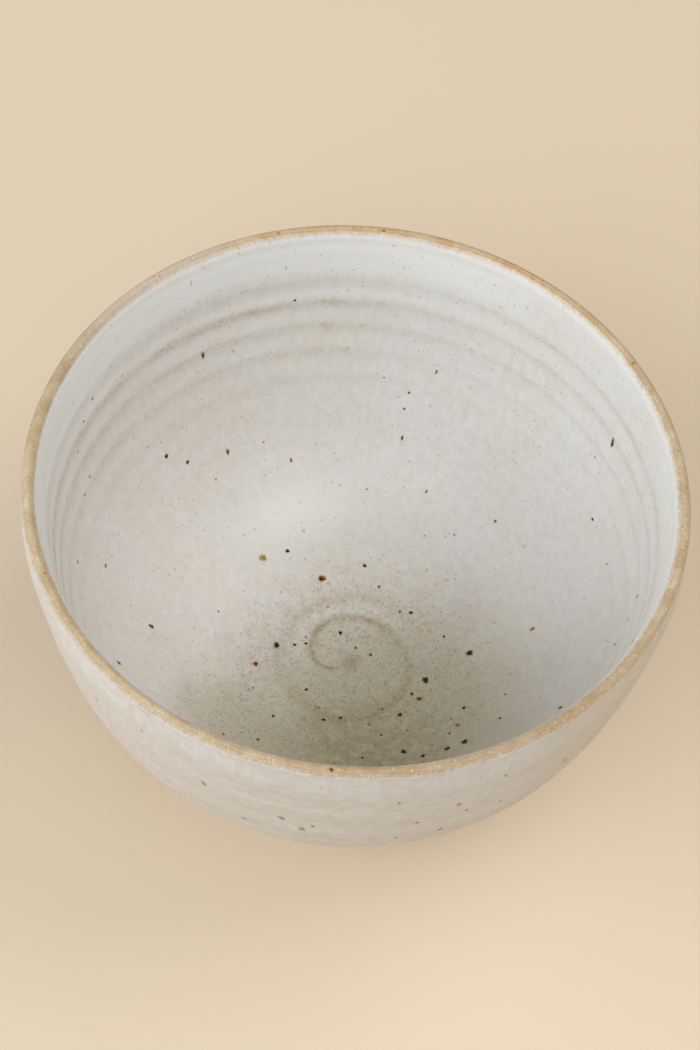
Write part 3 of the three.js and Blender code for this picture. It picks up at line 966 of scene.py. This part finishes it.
def clay_colour(paint):
    """Bare toasted stoneware: mottled ochre with cream and rusty grains."""
    patch = paint.noise(size=4.5, detail=4)
    fine = paint.noise(size=0.5, detail=4, roughness=0.7)
    colour = paint.mixed(paint.ranged(patch, CLAY_PATCHES), CLAY_PALE, CLAY_TOASTED)
    flashed = paint.product(paint.sided(FLASHED_SIDE), paint.ranged(patch, FLASHED_PATCHES))
    colour = paint.mixed(flashed, colour, FLASHED_SIDE.colour)
    for side in CLAY_SIDES:
        colour = paint.mixed(paint.sided(side), colour, side.colour)
    colour = paint.mixed(paint.ranged(fine, CLAY_GRAINS), colour, CLAY_DARK)
    cream, _ = paint.spots(CREAM_GRAINS, CREAM_GRAINS.share)
    rusty, _ = paint.spots(RUSTY_GRAINS, RUSTY_GRAINS.share)
    return paint.mixed(rusty, paint.mixed(cream, colour, CLAY_CREAM), CLAY_RUST)


def weaker(blend, share):
    return blend._replace(least=blend.least * share, most=blend.most * share)


def speckled(paint, colour, share):
    """Iron that has melted through: a dark dull middle, and a rusty halo that fades out."""
    rust = paint.mark("rust")
    patches = paint.from_mean(paint.noise(size=0.8, detail=2))
    for patchiness in (DARK_PATCHINESS, OCHRE_PATCHINESS):
        patches = paint.product(patches, paint.ranged(rust, patchiness))
    patchy = paint.calc("ADD", rust, patches)
    core = paint.product(paint.mark("core"), paint.ranged(paint.noise(size=0.35), CORE_UNEVENNESS))
    paint.give("Specular IOR Level", paint.ranged(core, CORE_SHINE))
    halo = paint.mixed(paint.ranged(patchy, HALO_BROWNS), SPECK_SOOT, SPECK_BROWN)
    halo = paint.mixed(paint.ranged(patchy, HALO_PALES), halo, SPECK_TAN)
    halo_share = paint.product(paint.ranged(rust, weaker(HALO_SHARE, share)), paint.ranged(rust, OCHRE_HALO))
    colour = paint.mixed(paint.product(paint.ranged(core, HALO_EDGE), halo_share), colour, halo)
    middle = paint.mixed(paint.ranged(patchy, MIDDLE_RUSTS), SPECK_BLACK, SPECK_RUST)
    strength = paint.ranged(rust, weaker(MIDDLE_SHARE, share))
    colour = paint.mixed(paint.product(paint.ranged(core, MIDDLE_EDGE), strength), colour, middle)
    pit = paint.product(paint.ranged(core, PIT_EDGE), paint.ranged(rust, weaker(PIT_SHARE, share)))
    return paint.mixed(pit, colour, SPECK_PIT)


def glaze_ground(paint, look, thin, fine, cloud):
    """The glaze's colour: cloudy, with faint runs down the steep wall, and whiter where it is thick and where
    painted light comes in through the thinness.
    """
    colour = paint.mixed(paint.ranged(cloud, CLOUDS), look.cool, look.warm)
    drawn_out = paint.put("VectorMath", {0: paint.where, 1: RUN_STRETCH}, operation="MULTIPLY").outputs[0]
    run = paint.noise(size=1.4, where=drawn_out)
    mottle = paint.noise(size=2.6, detail=2)
    for pattern, blend in ((run, RUNS), (fine, FINE_GRAINS), (mottle, weaker(MOTTLING, look.mottle))):
        colour = paint.mixed(paint.ranged(pattern, blend), colour, GLAZE_BROKEN)
    return paint.mixed(paint.ranged(thin, THICK_AND_LIT_GLAZE), colour, GLAZE_THICK_AND_LIT)


def pooled_and_shaded_glaze(paint, colour, fine, cloud):
    """The glaze that has run together in the well, with painted shade towards the near wall: its colour, the
    tan that it breaks to, and its iron.
    """
    # The edges of the pools, which are partly painted shade, wander
    stray = paint.product(paint.from_mean(cloud), POOL_STRAY)
    # The pools lie towards the near wall, so they are partly painted shade
    pool_and_shade = paint.ranged(paint.calc("ADD", paint.distance(POOL_AND_SHADE_CENTRE), stray), POOL_AND_SHADE)
    near_pool_and_shade = paint.ranged(paint.calc("ADD", paint.distance(NEAR_POOL_AND_SHADE_CENTRE), stray), NEAR_POOL_AND_SHADE)
    pool_and_shade = paint.calc("MAXIMUM", pool_and_shade, near_pool_and_shade)
    colour = paint.mixed(paint.product(pool_and_shade, paint.ranged(fine, POOL_GRAINS)), colour, WELL_OLIVE_AND_SHADE)
    # Painted shade in the well under the near wall
    colour = paint.mixed(paint.ranged(paint.distance(NEAR_PAINTED_SHADE_CENTRE), NEAR_PAINTED_SHADE), colour, BLOT_AND_SHADE_OLIVE)
    flat = paint.ranged(paint.distance(WELL_MIDDLE), WELL_FLAT)
    pale = paint.product(flat, paint.ranged(paint.noise(size=2.6), PALE_PATCHES))
    olive = paint.product(flat, paint.ranged(paint.noise(size=1.9), OLIVE_PATCHES))
    colour = paint.mixed(olive, paint.mixed(pale, colour, WELL_PALE), BLOT_AND_SHADE_OLIVE)
    blots, _ = paint.spots(BLOTS, paint.product(flat, BLOTS.share))
    colour = paint.mixed(blots, colour, BLOT_AND_SHADE_OLIVE)
    dusty = paint.calc("MAXIMUM", flat, paint.product(near_pool_and_shade, NEAR_POOL_DUST))
    dusty = paint.product(dusty, paint.ranged(paint.noise(size=6), DUST_CLUSTERS))
    iron = Iron(
        dust=paint.ranged(dusty, WELL_DUST),
        flecks=paint.ranged(flat, WELL_FLECKS),
        grit=paint.ranged(dusty, WELL_GRIT),
    )
    return colour, paint.mixed(pool_and_shade, GLAZE_BROKEN, WELL_TAN), iron


def iron_dust(paint, colour, thin, grain, iron):
    """Grit, dust and flecks in the glaze; more of it shows where the glaze is thin."""
    colour = paint.mixed(paint.product(paint.ranged(grain, GRIT), iron.grit), colour, DUST_BROWN)
    dustiness = paint.calc("ADD", iron.dust, paint.ranged(thin, THIN_DUST))
    dust, _ = paint.spots(DUST, paint.product(dustiness, DUST.share))
    colour = paint.mixed(dust, colour, DUST_BROWN)
    coarse, tone = paint.spots(COARSE_DUST, paint.product(dustiness, COARSE_DUST.share))
    colour = paint.mixed(coarse, colour, paint.mixed(tone, DUST_BROWN, DUST_GREY))
    flecks, _ = paint.spots(FLECKS, iron.flecks)
    colour = paint.mixed(flecks, colour, FLECK_OCHRE)
    specks, tone = paint.spots(FAINT_SPECKS, FAINT_SPECKS.share)
    return paint.mixed(specks, colour, paint.mixed(tone, SPECK_DARK, SPECK_BROWN))


def glaze_colour(paint, look, fine):
    """Off-white satin glaze: whiter where it is thick, tan where it is thin, with iron dust and flecks, and
    with painted light and shade carried in the same marks.
    """
    thin = paint.mark("thin")
    grain = paint.noise(size=0.32, detail=2)
    cloud = paint.noise(size=22, detail=5, roughness=0.62)
    colour = glaze_ground(paint, look, thin, fine, cloud)
    broken = GLAZE_BROKEN
    iron = WALL_IRON
    if look.pooled:
        colour, broken, iron = pooled_and_shaded_glaze(paint, colour, fine, cloud)
    # Where the glaze is thin it breaks to tan in grains
    grains = paint.product(paint.ranged(fine, BREAK_FINE), paint.ranged(grain, BREAK_GRAIN))
    grains = paint.product(grains, paint.ranged(paint.noise(size=5), BREAK_PATCHES))
    colour = paint.mixed(paint.product(thin, grains), colour, broken)
    colour = iron_dust(paint, colour, thin, grain, iron)
    # The clay shows through a ragged line at the edge of the coat
    ragged = paint.mark("edge")
    for pattern, strength in ((fine, RAGGED_FINE), (grain, RAGGED_GRAIN)):
        ragged = paint.calc("ADD", ragged, paint.product(paint.from_mean(pattern), strength))
    bare = clay_colour(paint)
    if not look.pooled:
        # Painted warm bounce light and shade on the right of the outer coat
        colour = paint.mixed(paint.sided(OUTER_BOUNCE_SIDE), colour, OUTER_BOUNCE_SIDE.colour)
        bare = paint.mixed(paint.ranged(paint.mark("edge"), EDGE_DARKENS), bare, EDGE_BROWN)
    return paint.mixed(paint.ranged(ragged, RAGGED_EDGE), colour, bare)


def glaze_material(look):
    paint = Paint(look.name)
    fine = paint.noise(size=0.9, detail=4, roughness=0.7)
    paint.give("Base Color", speckled(paint, glaze_colour(paint, look, fine), look.speck_share))
    paint.give("Roughness", paint.ranged(paint.noise(size=4), GLAZE_ROUGHNESS))
    height = paint.calc("ADD", paint.noise(size=2.2, detail=2), paint.product(fine, FINE_RELIEF))
    paint.relief(height, GLAZE_RELIEF)
    return paint.material


def clay_material():
    paint = Paint("toasted_clay")
    paint.give("Base Color", speckled(paint, clay_colour(paint), CLAY_SPECK_SHARE))
    paint.give("Roughness", paint.ranged(paint.noise(size=5, detail=4), CLAY_ROUGHNESS))
    paint.relief(paint.noise(size=0.6, detail=4, roughness=0.7), CLAY_RELIEF)
    return paint.material


def floor_material():
    paint = Paint("pale_floor")
    paint.give("Base Color", paint.mixed(paint.noise(size=900, detail=2), FLOOR_TINT, FLOOR_TINT_WARM))
    paint.shader.inputs["Roughness"].default_value = FLOOR_ROUGHNESS
    return paint.material


# The camera stands where the photograph was taken from

PHOTO_WIDTH = 700
PHOTO_HEIGHT = 1050
PHOTO_FOCUS = 2258  # focal length in pixels of the photograph
CAMERA_ELEVATION = 0.9818  # radians above level
CAMERA_ROLL = 0.0673  # radians
CAMERA_DISTANCE = 538.4  # from the middle of the rim, along the view
CAMERA_CLIP = 0.01  # metres
RIM_CENTRE_X = 357.06  # pixel of the photograph where the middle of the rim lies
RIM_CENTRE_Y = 477.26
SENSOR_HEIGHT = 36


def add_camera():
    """Stands the camera so that the middle of the rim falls on its pixel of the photograph."""
    forward = Vector((0, math.cos(CAMERA_ELEVATION), -math.sin(CAMERA_ELEVATION)))
    level = Vector((1, 0, 0))
    upright = level.cross(forward)
    right = math.cos(CAMERA_ROLL) * level + math.sin(CAMERA_ROLL) * upright
    up = -math.sin(CAMERA_ROLL) * level + math.cos(CAMERA_ROLL) * upright
    aside = (RIM_CENTRE_X - PHOTO_WIDTH / 2) / PHOTO_FOCUS
    above = (PHOTO_HEIGHT / 2 - RIM_CENTRE_Y) / PHOTO_FOCUS
    to_rim = forward + right * aside + up * above
    place = Vector((0, 0, BOWL_HEIGHT)) - to_rim * CAMERA_DISTANCE
    data = bpy.data.cameras.new("photo_camera")
    data.sensor_fit = "VERTICAL"
    data.sensor_height = SENSOR_HEIGHT
    data.lens = SENSOR_HEIGHT * PHOTO_FOCUS / PHOTO_HEIGHT
    data.clip_start = CAMERA_CLIP
    camera = bpy.data.objects.new("photo_camera", data)
    turn = Matrix((right, up, -forward)).transposed()
    camera.matrix_world = Matrix.Translation(place * MM) @ turn.to_4x4()
    bpy.context.scene.collection.objects.link(camera)
    bpy.context.scene.camera = camera


# Iron specks, each a small lens that lies in the surface

# Angle round the bowl, length below the lip, width, rust, and the length of a speck that is drawn out
Speck = namedtuple("Speck", "angle down width rust length", defaults=[None])
BLACK = 0.0
DARK = 0.15
BROWN = 0.5
OCHRE = 1.0


def well_speck(x, y, width, rust):
    """A speck at a place in the well, measured from the bowl's axis."""
    down = np.interp(math.hypot(x, y), curve_radius[::-1], curve_length[::-1])
    return Speck(math.degrees(math.atan2(y, x)), float(down), width, rust)


WELL_SPECKS = [
    well_speck(-17.6, 30.2, 1.1, DARK), well_speck(3.9, 28.5, 1.0, DARK),
    well_speck(-24.2, 27.0, 1.8, 0.7), well_speck(-7.6, 24.1, 1.8, 0.3),
    well_speck(8.2, 22.8, 0.8, BROWN), well_speck(26.7, 24.0, 1.0, OCHRE),
    well_speck(33.0, 15.9, 0.8, OCHRE), well_speck(17.3, 15.3, 1.0, DARK),
    well_speck(14.3, 15.7, 0.7, BROWN), well_speck(-5.5, 16.2, 0.9, 0.8),
    well_speck(-6.8, 17.9, 0.9, OCHRE), well_speck(5.9, 12.8, 0.9, 0.8),
    well_speck(22.8, 9.4, 1.5, OCHRE), well_speck(18.9, 5.0, 1.3, OCHRE),
    well_speck(26.5, 7.7, 0.7, DARK), well_speck(-1.5, 8.8, 1.1, DARK), well_speck(-10.7, 4.5, 0.8, DARK),
    well_speck(-13.7, 3.7, 0.8, DARK), well_speck(-10.8, 6.5, 0.7, 0.7),
    well_speck(-18.6, 2.7, 1.7, BLACK), well_speck(-23.7, -4.2, 1.3, 0.3),
    well_speck(-24.6, -4.4, 1.2, OCHRE), well_speck(2.8, 4.5, 0.7, DARK),
    well_speck(7.0, 2.6, 0.9, BROWN), well_speck(-4.3, 3.5, 1.2, OCHRE),
    well_speck(33.5, 1.9, 1.8, BLACK), well_speck(22.1, -5.5, 1.9, BLACK),
    well_speck(18.6, -9.8, 0.9, DARK), well_speck(20.6, -11.5, 1.4, 0.35),
    well_speck(15.7, -16.6, 1.2, DARK), well_speck(32.3, -15.6, 1.0, BLACK),
    well_speck(30.7, -21.2, 1.1, BROWN), well_speck(29.1, -18.9, 0.7, BROWN),
    well_speck(-9.6, -9.9, 0.9, DARK), well_speck(-14.0, -10.5, 1.5, OCHRE),
    well_speck(-18.0, -3.5, 1.0, OCHRE), well_speck(0.0, -18.3, 1.0, BLACK),
    well_speck(-4.4, -19.3, 1.0, DARK), well_speck(-5.9, -15.5, 0.8, BROWN),
    well_speck(7.7, -20.0, 0.8, BROWN), well_speck(11.0, -14.8, 0.6, DARK),
    well_speck(-17.8, -20.1, 0.9, 0.3), well_speck(-24.0, -20.0, 0.9, OCHRE),
    well_speck(-19.8, -23.0, 1.1, OCHRE), well_speck(-8.9, -22.1, 1.2, OCHRE),
    well_speck(-23.8, -12.0, 0.8, 0.7), well_speck(17.0, -29.5, 1.5, BLACK),
    well_speck(22.0, -31.2, 1.2, BLACK), well_speck(28.2, -29.3, 1.4, BLACK),
    well_speck(32.6, -27.5, 1.7, BLACK), well_speck(6.4, -31.6, 0.8, BLACK),
    well_speck(-21.2, -29.2, 0.9, 0.4), well_speck(28.7, -23.8, 0.7, BROWN),
    well_speck(11.0, -23.5, 0.7, DARK), well_speck(17.8, -22.0, 0.7, BROWN),
]
WALL_SPECKS = [
    Speck(27.3, 23.9, 1.2, 0.3, 2.9), Speck(18.5, 15.0, 0.7, OCHRE), Speck(19.5, 12.3, 0.7, OCHRE),
    Speck(30.2, 34.1, 0.8, 0.8), Speck(-6.2, 31.7, 0.7, BROWN, 1.8), Speck(-12.5, 43.7, 0.7, 0.3, 1.4),
    Speck(22.0, 48.0, 0.9, DARK), Speck(10.2, 48.6, 0.6, 0.4), Speck(78.9, 51.3, 0.7, 0.3),
    Speck(79.4, 56.4, 0.7, BROWN), Speck(105.3, 21.4, 0.8, BLACK), Speck(88.7, 27.1, 0.6, OCHRE),
    Speck(73.5, 42.4, 0.6, 0.6, 1.4), Speck(94.0, 39.3, 0.8, OCHRE), Speck(126.3, 31.1, 1.0, 0.45, 1.9),
    Speck(141.8, 54.3, 1.2, DARK), Speck(137.3, 60.0, 1.0, 0.3), Speck(126.1, 63.6, 0.8, 0.4, 1.7),
    Speck(174.8, 56.8, 1.0, BROWN), Speck(174.8, 52.5, 0.7, OCHRE), Speck(181.5, 42.7, 0.9, 0.4),
    Speck(155.7, 16.2, 0.8, BROWN), Speck(160.0, 19.0, 0.7, BROWN), Speck(146.3, 19.8, 1.0, OCHRE),
    Speck(148.8, 13.0, 0.7, OCHRE), Speck(126.8, 4.7, 0.5, OCHRE, 2.0),
    Speck(107.0, 9.3, 0.5, OCHRE, 1.5), Speck(164.6, 24.0, 0.7, 0.8, 1.3), Speck(163.8, 35.5, 0.9, 0.7),
    Speck(167.6, 37.0, 0.8, 0.5), Speck(119.4, 34.0, 1.0, OCHRE), Speck(141.8, 40.5, 0.7, OCHRE),
    Speck(199.5, 62.2, 1.0, 0.2, 1.4), Speck(-23.7, 62.8, 0.9, DARK, 1.5), Speck(116.3, 14.5, 0.6, OCHRE),
    Speck(34.8, 14.5, 0.6, OCHRE), Speck(-9.0, 37.5, 0.8, 0.6), Speck(-9.0, 49.8, 0.6, 0.4),
    Speck(85.2, 48.0, 0.5, 0.4), Speck(78.5, 65.0, 0.6, 0.3, 1.4), Speck(116.0, 64.9, 0.5, BROWN),
    Speck(109.5, 71.8, 0.6, BROWN, 1.2), Speck(31.5, 72.0, 0.6, OCHRE, 1.1),
    Speck(43.8, 73.7, 0.8, BROWN), Speck(67.4, 77.3, 0.6, BROWN, 1.0), Speck(6.2, 78.7, 0.9, 0.6, 1.5),
    Speck(182.9, 76.4, 0.9, 0.32, 1.8), Speck(-27.0, 82.6, 0.8, BLACK), Speck(-17.2, 84.6, 0.6, BROWN),
    Speck(110.6, 91.7, 1.0, OCHRE), Speck(52.0, 84.0, 0.5, DARK), Speck(61.4, 88.6, 0.5, 0.6),
    Speck(86.3, 80.9, 0.5, 0.6), Speck(179.7, 68.9, 0.7, OCHRE), Speck(206.7, 74.8, 0.6, OCHRE),
    Speck(225.0, 87.3, 0.8, 0.5), Speck(132.2, 68.9, 0.5, BROWN), Speck(165.5, 94.6, 0.5, DARK),
]
OUTSIDE_SPECKS = [
    Speck(-112.8, 21.3, 1.4, DARK, 2.4), Speck(-99.0, 27.2, 1.6, DARK, 2.7),
    Speck(-95.5, 33.0, 1.4, DARK, 2.4), Speck(-106.1, 36.2, 1.2, DARK, 2.0),
    Speck(-69.1, 20.0, 1.1, DARK, 1.9), Speck(-67.2, 26.0, 0.9, DARK, 1.5),
    Speck(-75.8, 27.2, 1.1, DARK, 1.9), Speck(-78.7, 38.8, 1.2, DARK, 2.0),
    Speck(-70.7, 37.6, 1.5, DARK, 2.5), Speck(-48.0, 23.8, 1.0, DARK, 1.7),
    Speck(-60.3, 29.7, 1.0, DARK, 1.7), Speck(-62.0, 9.7, 0.9, DARK, 1.5),
    Speck(-79.7, 11.8, 0.8, DARK, 1.4), Speck(-124.3, 10.0, 0.8, DARK, 1.4),
    Speck(-136.0, 16.8, 1.1, DARK, 1.9), Speck(-93.6, 29.7, 0.9, DARK, 1.5),
]
# On the bare lip, above the start of the inside
LIP_SPECKS = [
    Speck(88.0, -1.6, 0.9, 0.4), Speck(108.0, -1.8, 0.7, BROWN), Speck(-91.0, -2.2, 1.0, 0.3),
    Speck(31.0, -1.9, 0.8, 0.6), Speck(205.0, -1.7, 0.7, 0.6),
]

# Specks where the photograph shows none: on the near side of the inside, and over most of the outside
INSIDE_SCATTER = 26
INSIDE_SCATTER_ANGLES = (-165, -20)
INSIDE_SCATTER_DOWN = (9, 62)
OUTSIDE_SCATTER = 110
OUTSIDE_SCATTER_MARGIN = 4  # from the coat's edges
SEEN_FROM = -152  # angles between which the photograph shows the outside
SEEN_TO = -32
SEEN_DOWN = 46
# Most specks that are scattered are small, and brown or ochre
LEAST_WIDTH = 0.45
WIDTH_RANGE = 0.85
WIDTH_POWER = 2.5
CHANCE_RUST = [DARK, 0.35, BROWN, 0.8, OCHRE]
CHANCE_SHARES = [0.2, 0.2, 0.25, 0.15, 0.2]


def chance_speck(chance, angle, down):
    width = LEAST_WIDTH + WIDTH_RANGE * chance.uniform() ** WIDTH_POWER
    return Speck(angle, down, width, chance.choice(CHANCE_RUST, p=CHANCE_SHARES))


def scattered_inside():
    chance = np.random.default_rng([RANDOM_SEED, INSIDE_SCATTER_KEY])
    specks = []
    for _ in range(INSIDE_SCATTER):
        angle = chance.uniform(*INSIDE_SCATTER_ANGLES)
        specks.append(chance_speck(chance, angle, chance.uniform(*INSIDE_SCATTER_DOWN)))
    return specks


def scattered_outside():
    """Specks over the outside, apart from the part where the photograph shows each one."""
    chance = np.random.default_rng([RANDOM_SEED, OUTSIDE_SCATTER_KEY])
    specks = []
    while len(specks) < OUTSIDE_SCATTER:
        angle = chance.uniform(-180, 180)
        down = chance.uniform(OUTSIDE_SCATTER_MARGIN, OUTER_GLAZE_END - OUTSIDE_SCATTER_MARGIN)
        seen = SEEN_FROM < angle < SEEN_TO and down < SEEN_DOWN
        if not seen and chance.uniform() < outside_place(down, 0).radius / RIM_RADIUS:
            specks.append(chance_speck(chance, angle, down))
    return specks


LENS_CORNERS = 18
LENS_RINGS = [0.22, 0.42, 0.62, 0.82, 1.0]  # shares of a lens's reach
LENS_REACH = 0.95  # reach of the lens that holds a speck one across, with its halo
LENS_RISE = 0.03  # height of that lens
LENS_BURIED = 0.008  # depth of a lens's edge
LENS_DEPTH = 0.15
LENS_BOTTOM = 0.6  # width of a lens's underside, as a share of its reach
LENS_WAVES = ((2, 0.1), (3, 0.08), (5, 0.05))  # unevenness of its outline: waves and their size


def speck_lens(tree, speck, place, along, thin, chance):
    """Vertices, faces and marks of one uneven lens on a surface."""
    middle, facing, _, _ = tree.find_nearest(place)
    along = (along - facing * along.dot(facing)).normalized()
    aside = facing.cross(along)
    turn = np.arange(LENS_CORNERS) * FULL_TURN / LENS_CORNERS
    outline = np.ones(LENS_CORNERS)
    for waves, size in LENS_WAVES:
        outline += size * np.cos(waves * turn + chance.uniform(0, FULL_TURN))
    drawn_out = speck.length / speck.width if speck.length else 1
    rings = [(share, speck.width * LENS_RISE * (1 - share**2) - LENS_BURIED) for share in LENS_RINGS]
    rings.append((LENS_BOTTOM, -LENS_DEPTH))
    vertices = []
    marks = []
    for share, rise in rings:
        for corner, wide in zip(turn, outline):
            reach = share * wide * speck.width * LENS_REACH * MM
            offset = along * (math.cos(corner) * reach * drawn_out) + aside * (math.sin(corner) * reach)
            spot, normal, _, _ = tree.find_nearest(middle + offset)
            vertices.append(spot + normal * (rise * MM))
            marks.append((1 - share, speck.rust, thin))
    vertices += [middle + facing * (speck.width * LENS_RISE * MM), middle - facing * (LENS_DEPTH * MM)]
    marks += [(1.0, speck.rust, thin), (0.0, speck.rust, thin)]
    top = len(rings) * LENS_CORNERS
    last = top - LENS_CORNERS
    faces = []
    for corner in range(LENS_CORNERS):
        after = (corner + 1) % LENS_CORNERS
        faces.append((top, corner, after))
        for inner in range(0, last, LENS_CORNERS):
            outer = inner + LENS_CORNERS
            faces.append((inner + corner, outer + corner, outer + after, inner + after))
        faces.append((top + 1, last + after, last + corner))
    return vertices, faces, marks


def joined_lenses(name, lenses):
    """One object holding many lenses, each with a sharp edge where it meets the surface."""
    vertices = []
    faces = []
    marks = []
    on_edge = []
    edge_to = len(LENS_RINGS) * LENS_CORNERS
    edge_from = edge_to - LENS_CORNERS
    for lens_vertices, lens_faces, lens_marks in lenses:
        faces += [tuple(len(vertices) + index for index in face) for face in lens_faces]
        on_edge += [edge_from <= index < edge_to for index in range(len(lens_vertices))]
        vertices += lens_vertices
        marks += lens_marks
    piece = new_piece(name, vertices, faces, dict(zip(("core", "rust", "thin"), zip(*marks))))
    for edge in piece.data.edges:
        edge.use_edge_sharp = on_edge[edge.vertices[0]] and on_edge[edge.vertices[1]]
    return piece


def speck_piece(name, carrier, specks, place_on):
    """The specks that lie on a piece, placed on its surface by a function of length and depth."""
    mesh = carrier.data
    tree = BVHTree.FromPolygons([v.co for v in mesh.vertices], [p.vertices for p in mesh.polygons])
    chance = np.random.default_rng([RANDOM_SEED, LENS_KEY])
    lenses = []
    for speck in specks:
        angle = np.array([math.radians(speck.angle)])
        down = np.array([speck.down])
        lattice = place_on(down, 0)
        place = Vector(points_of(lattice, angle)[0] * MM)
        out = -lattice.up[0]
        along = Vector((out * np.cos(angle[0]), out * np.sin(angle[0]), lattice.across[0]))
        thin = 0.0
        if place_on is inside_place and speck.down > 0:
            thin = float(inside_marks(down, angle)[1][0])
        lenses.append(speck_lens(tree, speck, place, along, thin, chance))
    return joined_lenses(name, lenses)


# Light and floor, in metres

LIGHT_AIM = Vector((0, 0, 0.05))
PANEL_DISTANCE = 1.6
PANEL_SIZE = 1.1
Panel = namedtuple("Panel", "name azimuth elevation power colour")
PANELS = [
    Panel("low_left_panel", 180, 18, 10.7, (0.92, 0.97, 1.0)),
    Panel("high_left_panel", 205, 34, 5.4, (1.0, 1.0, 0.98)),
    Panel("near_left_panel", 240, 38, 12.3, (0.85, 0.92, 1.0)),
    Panel("near_right_panel", 304, 47, 6.7, (1.0, 0.99, 0.93)),
    Panel("far_panel", 20, 55, 10.9, (1.0, 0.98, 0.95)),
]
ROOM_COLOUR = (1.0, 0.95, 0.9, 1.0)
ROOM_STRENGTH = 0.285
FLOOR_RADIUS = 3.0
FLOOR_CORNERS = 96


def add_light(panel):
    """A large soft panel that faces the bowl."""
    data = bpy.data.lights.new(panel.name, "AREA")
    data.shape = "SQUARE"
    data.size = PANEL_SIZE
    data.energy = panel.power
    data.color = panel.colour
    light = bpy.data.objects.new(panel.name, data)
    azimuth = math.radians(panel.azimuth)
    elevation = math.radians(panel.elevation)
    level = math.cos(elevation)
    way = Vector((level * math.cos(azimuth), level * math.sin(azimuth), math.sin(elevation)))
    light.location = LIGHT_AIM + way * PANEL_DISTANCE
    light.rotation_euler = way.to_track_quat("Z", "Y").to_euler()
    bpy.context.scene.collection.objects.link(light)


def add_world():
    world = bpy.data.worlds.new("soft_room")
    world.use_nodes = True
    background = world.node_tree.nodes["Background"]
    background.inputs["Color"].default_value = ROOM_COLOUR
    background.inputs["Strength"].default_value = ROOM_STRENGTH
    bpy.context.scene.world = world


def add_floor():
    bpy.ops.mesh.primitive_circle_add(vertices=FLOOR_CORNERS, radius=FLOOR_RADIUS, fill_type="NGON")
    floor = bpy.context.object
    floor.name = "floor"
    floor.data.materials.append(floor_material())


def dress(piece, material, node=None):
    """Gives a piece its material, attaches it to the root body, and hides the solid that it stands for, when
    one is named.
    """
    piece.data.materials.append(material)
    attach(piece, "root")
    if node:
        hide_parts(node)


bpy.context.scene.view_settings.view_transform = "Standard"
add_camera()
add_world()
for panel in PANELS:
    add_light(panel)
add_floor()

inner_look = Look("inner_satin", cool=GLAZE_COOL, warm=GLAZE_WARM, pooled=True, speck_share=1.0, mottle=0.1)
outer_look = Look("outer_satin", cool=OUTER_COOL, warm=OUTER_WARM, pooled=False, speck_share=0.45, mottle=0.2)
inner = inner_glaze()
inner_satin = glaze_material(inner_look)
dress(inner, inner_satin, "inner_glaze")
outer = outer_glaze()
outer_satin = glaze_material(outer_look)
dress(outer, outer_satin, "outer_glaze")
recess = recess_glaze()
recess_satin = glaze_material(outer_look._replace(name="recess_satin"))
dress(recess, recess_satin, "recess_glaze")
clay = clay_body()
toasted_clay = clay_material()
dress(clay, toasted_clay, "clay_body")

inside_specks = WELL_SPECKS + WALL_SPECKS + scattered_inside()
dress(speck_piece("iron_specks_inside", inner, inside_specks, inside_place), inner_satin)
outside_specks = OUTSIDE_SPECKS + scattered_outside()
dress(speck_piece("iron_specks_outside", outer, outside_specks, outside_place), outer_satin)
dress(speck_piece("iron_specks_lip", clay, LIP_SPECKS, inside_place), toasted_clay)
